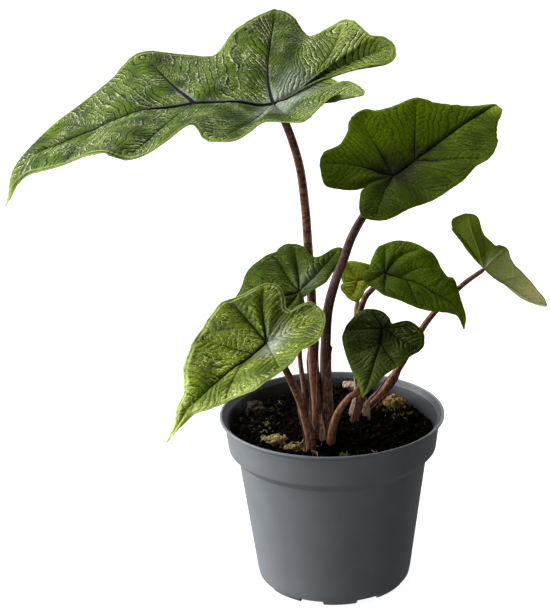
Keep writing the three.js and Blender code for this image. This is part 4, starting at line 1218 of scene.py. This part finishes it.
# %% Pot finish
def plastic_finish(name, base, dark, dust):
    f = Finish(name)
    place = f.object_place()
    height = f.axis(place, 2)
    peel, cloud = f.noise(place, 1.6), f.noise(place, 0.05)
    scuff = f.noise(place, 0.5, 4.0, 0.7, stretch=(1.0, 1.0, 0.12))
    speck = f.ease(f.cells(place, 0.35), 0.05, 0.12, 0.5, 0.0)
    body = f.layered(
        base, (f.ease(cloud, 0.3, 0.7), dark), (f.ease(scuff, 0.58, 0.8) * 0.15, dust),
        (speck * f.ease(cloud, 0.5, 0.6), dust), (f.ease(height, 0.0, 14.0, 0.35, 0.0), dark))
    rough = f.ease(peel + cloud * 0.5, 0.4, 0.9, 0.36, 0.52)
    relief = peel * 0.05 + f.maths("PINGPONG", height, 0.9) * 0.012
    return f.finish(body, rough, 0.5, relief)


# The darker copy on the inside wall is painted shade.
SHADED_WALL_FROM, SHADED_WALL_TO = 0.02, 0.0951      # heights of the inside wall, in metres
pot.data.materials.clear()
pot.data.materials.append(plastic_finish(
    "grey_plastic", tone(116, 119, 122), tone(110, 113, 116), tone(140, 142, 144)))
pot.data.materials.append(plastic_finish(
    "grey_plastic_painted_shade", tone(54, 56, 60), tone(38, 39, 41), tone(66, 66, 66)))
for face in pot.data.polygons:
    inward = face.normal.x * face.center.x + face.normal.y * face.center.y < 0
    face.material_index = int(inward and SHADED_WALL_FROM < face.center.z < SHADED_WALL_TO)
smooth(pot, 32)
hand_over(pot, "pot", "nursery_pot")

# %% [markdown]
# ## Soil
# The potting soil is almost black and crumbly. Its surface is a round grid with the CAD
# model's own mounds, roughened at three sizes. Crumbs are then strewn over it, all copied
# from one small lump, and joined into one piece.

# %% Soil surface
SOIL_REACH = 54


def soil_height(x, y):
    """The height of the CAD model's soil at places on it."""
    reach = np.hypot(x, y) / 60
    tilt = 1.6 * (y - x * 0.6) / 60
    mound = 2.4 * np.exp(-((x + 4) ** 2 + (y + 2) ** 2) / 500)
    back = 5 * np.exp(-((x - 8) ** 2 + (y - 44) ** 2) / 220)
    ripple = np.sin(x * 0.31 + 1) * np.sin(y * 0.27 + 2) + 0.6 * np.sin(x * 0.62 - y * 0.5)
    return SOIL_LEVEL + tilt + mound + back + 0.8 * ripple - 1.6 * reach * reach


def soil_top(x, y):
    """The same with the roughness, which fades out at the pot's wall."""
    spot = np.stack([x, y], axis=1)
    rough = 0.9 * rumple(spot, 5.0, 21) + 0.55 * rumple(spot, 1.9, 22) + 0.3 * rumple(spot, 0.9, 23)
    return soil_height(x, y) + rough * eased(SOIL_REACH - np.hypot(x, y), 0.0, 3.0)


SOIL_WALL = [(53.4, 78), (48.7, 72.6), (40.3, 7.2), (38.6, 4.8), (0, 4.8)]
SIDES, RINGS = 264, 84
bed, row, ring = grid_of("soil_bed", SIDES, RINGS + len(SOIL_WALL))
angle = 2 * math.pi * row / SIDES
edge_height = soil_height(SOIL_REACH * np.cos(angle), SOIL_REACH * np.sin(angle))
radius = (53.5 + 0.14 * (edge_height - 78)) * np.minimum(ring / RINGS, 1.0)
z = soil_top(radius * np.cos(angle), radius * np.sin(angle))
for step, (wall_radius, wall_height) in enumerate(SOIL_WALL, start=1):
    here = ring == RINGS + step
    radius, z = np.where(here, wall_radius, radius), np.where(here, wall_height, z)
move_points(bed, np.stack([radius * np.cos(angle), radius * np.sin(angle), z], axis=1))
weld(bed, 0.01)
outward(bed)
print("Soil bed", len(bed.data.polygons), "faces")

# %% Soil finish
def soil_finish(name, dark, brown, tan):
    f = Finish(name)
    place = f.object_place()
    lumps, grain = f.noise(place, 0.35, 3.0, 0.65), f.noise(place, 1.3, 3.0, 0.7)
    pick = f.axis(f.cells(place, 0.8, out=1), 0)
    earth = f.layered(
        dark, (f.ease(lumps, 0.4, 0.68), brown), (f.ease(grain, 0.55, 0.72) * 0.6, brown),
        (f.ease(pick, 0.86, 0.95) * f.ease(grain, 0.4, 0.6), tan))
    return f.finish(earth, 0.95, 0.03, grain * 0.7 + lumps * 0.8)


peat = soil_finish("peat", tone(2, 2, 1), tone(11, 8, 3), tone(60, 42, 18))
complete(bed, peat, 60, "soil", "soil")

# %% [markdown]
# ## Strewing small things
# `strewn` copies one small modelled lump to many places, each turned and sized by a fixed
# list of random numbers, and makes one mesh of them.

# %% Crumbs
def small_lump(name, detail, roughness, seed, flat=1.0):
    """A rough ball with a radius of one metre, to be sized when it is used."""
    piece = new_piece(name, bpy.ops.mesh.primitive_ico_sphere_add, subdivisions=detail, radius=1.0)
    points = points_of(piece)
    points *= (1 + roughness * rumple(points * MM, 0.8, seed))[:, None] * (1.0, 1.0, flat)
    move_points(piece, points)
    return piece


def turns(rng, count):
    """Random turning matrices."""
    x, y, z = unit(rng.normal(size=(count, 3))).T
    angle = rng.uniform(0, 2 * math.pi, count)[:, None, None]
    zero = np.zeros(count)
    cross = np.stack([zero, -z, y, z, zero, -x, -y, x, zero], axis=1).reshape(-1, 3, 3)
    return np.eye(3) + np.sin(angle) * cross + (1 - np.cos(angle)) * (cross @ cross)


def strewn(name, shape, places, sizes, seed):
    """One mesh with a copy of shape at every place, places and sizes in millimetres."""
    base = points_of(shape) * MM
    faces = np.array([tuple(face.vertices) for face in shape.data.polygons])
    turned = np.einsum("nij,kj->nki", turns(np.random.default_rng(seed), len(places)), base)
    points = (turned * sizes[:, None, :] + places[:, None, :]).reshape(-1, 3) * MM
    corners = faces[None] + (np.arange(len(places)) * len(base))[:, None, None]
    mesh = bpy.data.meshes.new(name)
    mesh.from_pydata(points.tolist(), [], corners.reshape(-1, faces.shape[1]).tolist())
    piece = bpy.data.objects.new(name, mesh)
    bpy.context.scene.collection.objects.link(piece)
    bpy.data.objects.remove(shape)
    return piece


CRUMBS, CRUMB_REACH = 1500, 52.6
rng = np.random.default_rng(5)
reach = np.sqrt(rng.uniform(0.0, CRUMB_REACH**2, CRUMBS))
angle = rng.uniform(0, 2 * math.pi, CRUMBS)
x, y = reach * np.cos(angle), reach * np.sin(angle)
z = soil_top(x, y)
sizes = rng.uniform(0.45, 1.0, (CRUMBS, 1)) ** 2 * rng.uniform(0.7, 1.3, (CRUMBS, 3)) * 1.9
places = np.stack([x, y, z + sizes[:, 2] * 0.2], axis=1)
crumbs = strewn("soil_crumbs", small_lump("crumb", 2, 0.22, 2), places, sizes, 6)
complete(crumbs, peat, 50, "soil")

# %% [markdown]
# ## Bark, moss and roots
# A few larger pieces lie on the soil: tan bark, a pale lump, a mossy orange lump and a
# knot of brown fibre. They are dense spheres with three sizes of bumps, and each has a
# finish of its own. White root threads and tufts of green moss lie between them.

# %% Lumps
def lump_finish(name, base, dark, pale, scale):
    f = Finish(name)
    place = f.object_place()
    blotch = f.noise(place, scale, 3.0, 0.65)
    grain = f.noise(place, scale * 3.5, 3.0, 0.7, stretch=(1.0, 0.5, 1.0))
    coat = f.layered(
        dark, (f.ease(blotch, 0.35, 0.62), base), (f.ease(grain, 0.5, 0.7), pale),
        (f.ease(grain, 0.3, 0.42, 0.8, 0.0), dark))
    return f.finish(coat, 0.85, 0.25, grain * 0.6 + blotch * 0.5)


bark_tan = lump_finish(
    "bark_tan", tone(138, 118, 62), tone(52, 42, 18), tone(196, 180, 118), 0.35)
bark_pale = lump_finish(
    "bark_pale", tone(176, 158, 126), tone(96, 78, 54), tone(214, 202, 174), 0.4)
moss_orange = lump_finish(
    "moss_orange", tone(148, 112, 46), tone(48, 36, 16), tone(198, 172, 98), 0.5)
fibre_brown = lump_finish(
    "fibre_brown", tone(48, 34, 17), tone(14, 10, 5), tone(104, 82, 44), 0.7)

LUMPS = [
    ((-30, -18, 87), (5.2, 3.6, 3.2), bark_tan),
    ((-20.5, -28.5, 86.5), (4.4, 3, 2.8), bark_tan),
    ((35, 32, 87), (6, 4.6, 4.2), moss_orange),
    ((10, 43, 92.5), (4, 3, 2.6), bark_pale),
    ((-42, 22, 88.5), (5.6, 4.6, 4.6), fibre_brown),
]
for number, (centre, radii, material) in enumerate(LUMPS, start=1):
    piece = small_lump(f"lump_{number}", 5, 0.0, number)
    ball = points_of(piece) * MM
    bumps = 0.13 * rumple(ball, 1.1, number) + 0.13 * rumple(ball, 0.5, number + 10)
    bumps += 0.07 * rumple(ball, 0.2, number + 20)
    move_points(piece, centre + ball * (1 + bumps)[:, None] * radii)
    complete(piece, material, 60, "bark", f"bark_{number}")

# %% Loose bits of bark
BITS_REACH = 51


def strewn_bits(name, spots, size, material, seed, detail=2, flat=0.6):
    """Small flattish lumps on the soil, at the spots that lie well inside the pot's wall."""
    rng = np.random.default_rng(seed)
    x, y = np.array([spot for spot in spots if math.hypot(*spot) < BITS_REACH]).T
    places = np.column_stack([x, y, soil_top(x, y) + size * 0.2])
    sizes = size * rng.uniform(0.6, 1.3, (len(x), 3))
    piece = strewn(name, small_lump(f"{name}_seed", detail, 0.25, seed, flat), places, sizes, seed)
    complete(piece, material, 50, "bark")


rng = np.random.default_rng(12)
row_of_bits = [(-38 + 30 * t + rng.normal(0, 1.4), -12 - 20 * t + rng.normal(0, 1.4))
               for t in rng.uniform(0, 1, 54)]
strewn_bits("bark_bits", row_of_bits, 1.7, bark_tan, 31, 3, 0.8)
back_bits = [(rng.uniform(24, 46), rng.uniform(16, 40)) for _ in range(46)]
strewn_bits("brown_bits", back_bits, 1.4, fibre_brown, 32)
left_bits = [(rng.uniform(-50, -28), rng.uniform(-8, 34)) for _ in range(60)]
strewn_bits("fibre_bits", left_bits, 1.2, fibre_brown, 33)

# %% Moss tufts
MOSS_REACH = 52
moss_green = lump_finish(
    "moss_green", tone(130, 140, 44), tone(70, 78, 20), tone(186, 190, 100), 0.8)


def moss(name, spots, count, seed):
    """Tufts of short pointed blades, each a thin three-sided spike."""
    rng = np.random.default_rng(seed)
    spike = new_piece("spike", bpy.ops.mesh.primitive_cone_add,
                      vertices=3, radius1=0.22, radius2=0.0, depth=1.0)
    edit_all(spike, bpy.ops.mesh.quads_convert_to_tris)
    places = []
    for x, y, spread in spots:
        px, py = np.array([[x], [y]]) + rng.normal(0, spread, (count, 2)).T
        tops = soil_top(px, py) + rng.uniform(0, 1.2, count)
        places.append(np.column_stack([px, py, tops])[np.hypot(px, py) < MOSS_REACH])
    places = np.vstack(places)
    sizes = rng.uniform(0.9, 1.9, (len(places), 1)) * np.ones((1, 3))
    piece = strewn(name, spike, places, sizes, seed)
    piece.data.materials.append(moss_green)
    hand_over(piece, "bark")


moss("moss_tufts", [(-13, -22, 1.2), (-27, -14, 1.0), (6, -34, 1.6), (33, 18, 1.8), (40, 14, 1.5),
                    (36, 27, 2.2), (-35, 4, 1.4)], 90, 41)

# %% Root threads
THREAD_POINTS, THREAD_RADIUS, THREAD_SIDES = 12, 0.26, 5
root_white = lump_finish(
    "root_white", tone(206, 196, 172), tone(150, 132, 100), tone(226, 220, 204), 1.0)


def root_threads(name, starts, seed):
    """Thin threads that wander over the soil, each from a place, with a length and a heading."""
    rng = np.random.default_rng(seed)
    share = np.linspace(0, 1, THREAD_POINTS)
    threads = []
    for number, (x, y, length, heading) in enumerate(starts):
        swing = heading + 1.4 * np.sin(share * 5 + number)
        run = np.stack([np.cos(swing), np.sin(swing)]) * length / (THREAD_POINTS - 1)
        px, py = np.array([[x], [y]]) + np.cumsum(run, axis=1)
        high = soil_top(px, py) + 0.35 + 1.1 * np.sin(share * math.pi) * rng.uniform(0.2, 1)
        centres, radii = np.column_stack([px, py, high]), THREAD_RADIUS * (1 - 0.7 * share)
        threads.append(tube(f"{name}_{number}", centres, radii, THREAD_SIDES))
    complete(join(name, threads), root_white, 60, "bark")


root_threads("root_threads", [
    (-34, -8, 7, 2.2), (-16, -24, 9, 0.3), (-10, -26, 8, 0.9), (-19, -20, 6, -0.6),
    (4, -30, 8, 0.2), (-40, -2, 6, 1.2), (28, 14, 7, 0.5), (36, 8, 6, 1.7), (44, 18, 5, 2.4),
    (-6, -38, 7, 2.9), (20, -30, 6, 0.4), (-30, 30, 8, 1.0)], 51)

# %% [markdown]
# ## Floor
# A wide white sheet carries the pot and fills the whole view. It glows a little, as a sheet
# lit from below does, so that it stays even into the distance. It throws no light back on
# the pot, which keeps the dark side of the pot dark.

# %% Floor
floor = new_piece("white_floor", bpy.ops.mesh.primitive_plane_add, size=16.0)
f = Finish("white_sheet")
fog = f.noise(f.object_place(1.0), 6.0, 2.0, 0.5)
sheet = f.layered((0.3, 0.31, 0.32, 1.0), (fog, (0.34, 0.34, 0.34, 1.0)))
glowing = {"Emission Color": (1.0, 1.0, 1.0, 1.0), "Emission Strength": 0.92}
floor.data.materials.append(f.finish(sheet, 0.9, 0.1, others=glowing))
floor.visible_diffuse = False
floor.visible_glossy = False
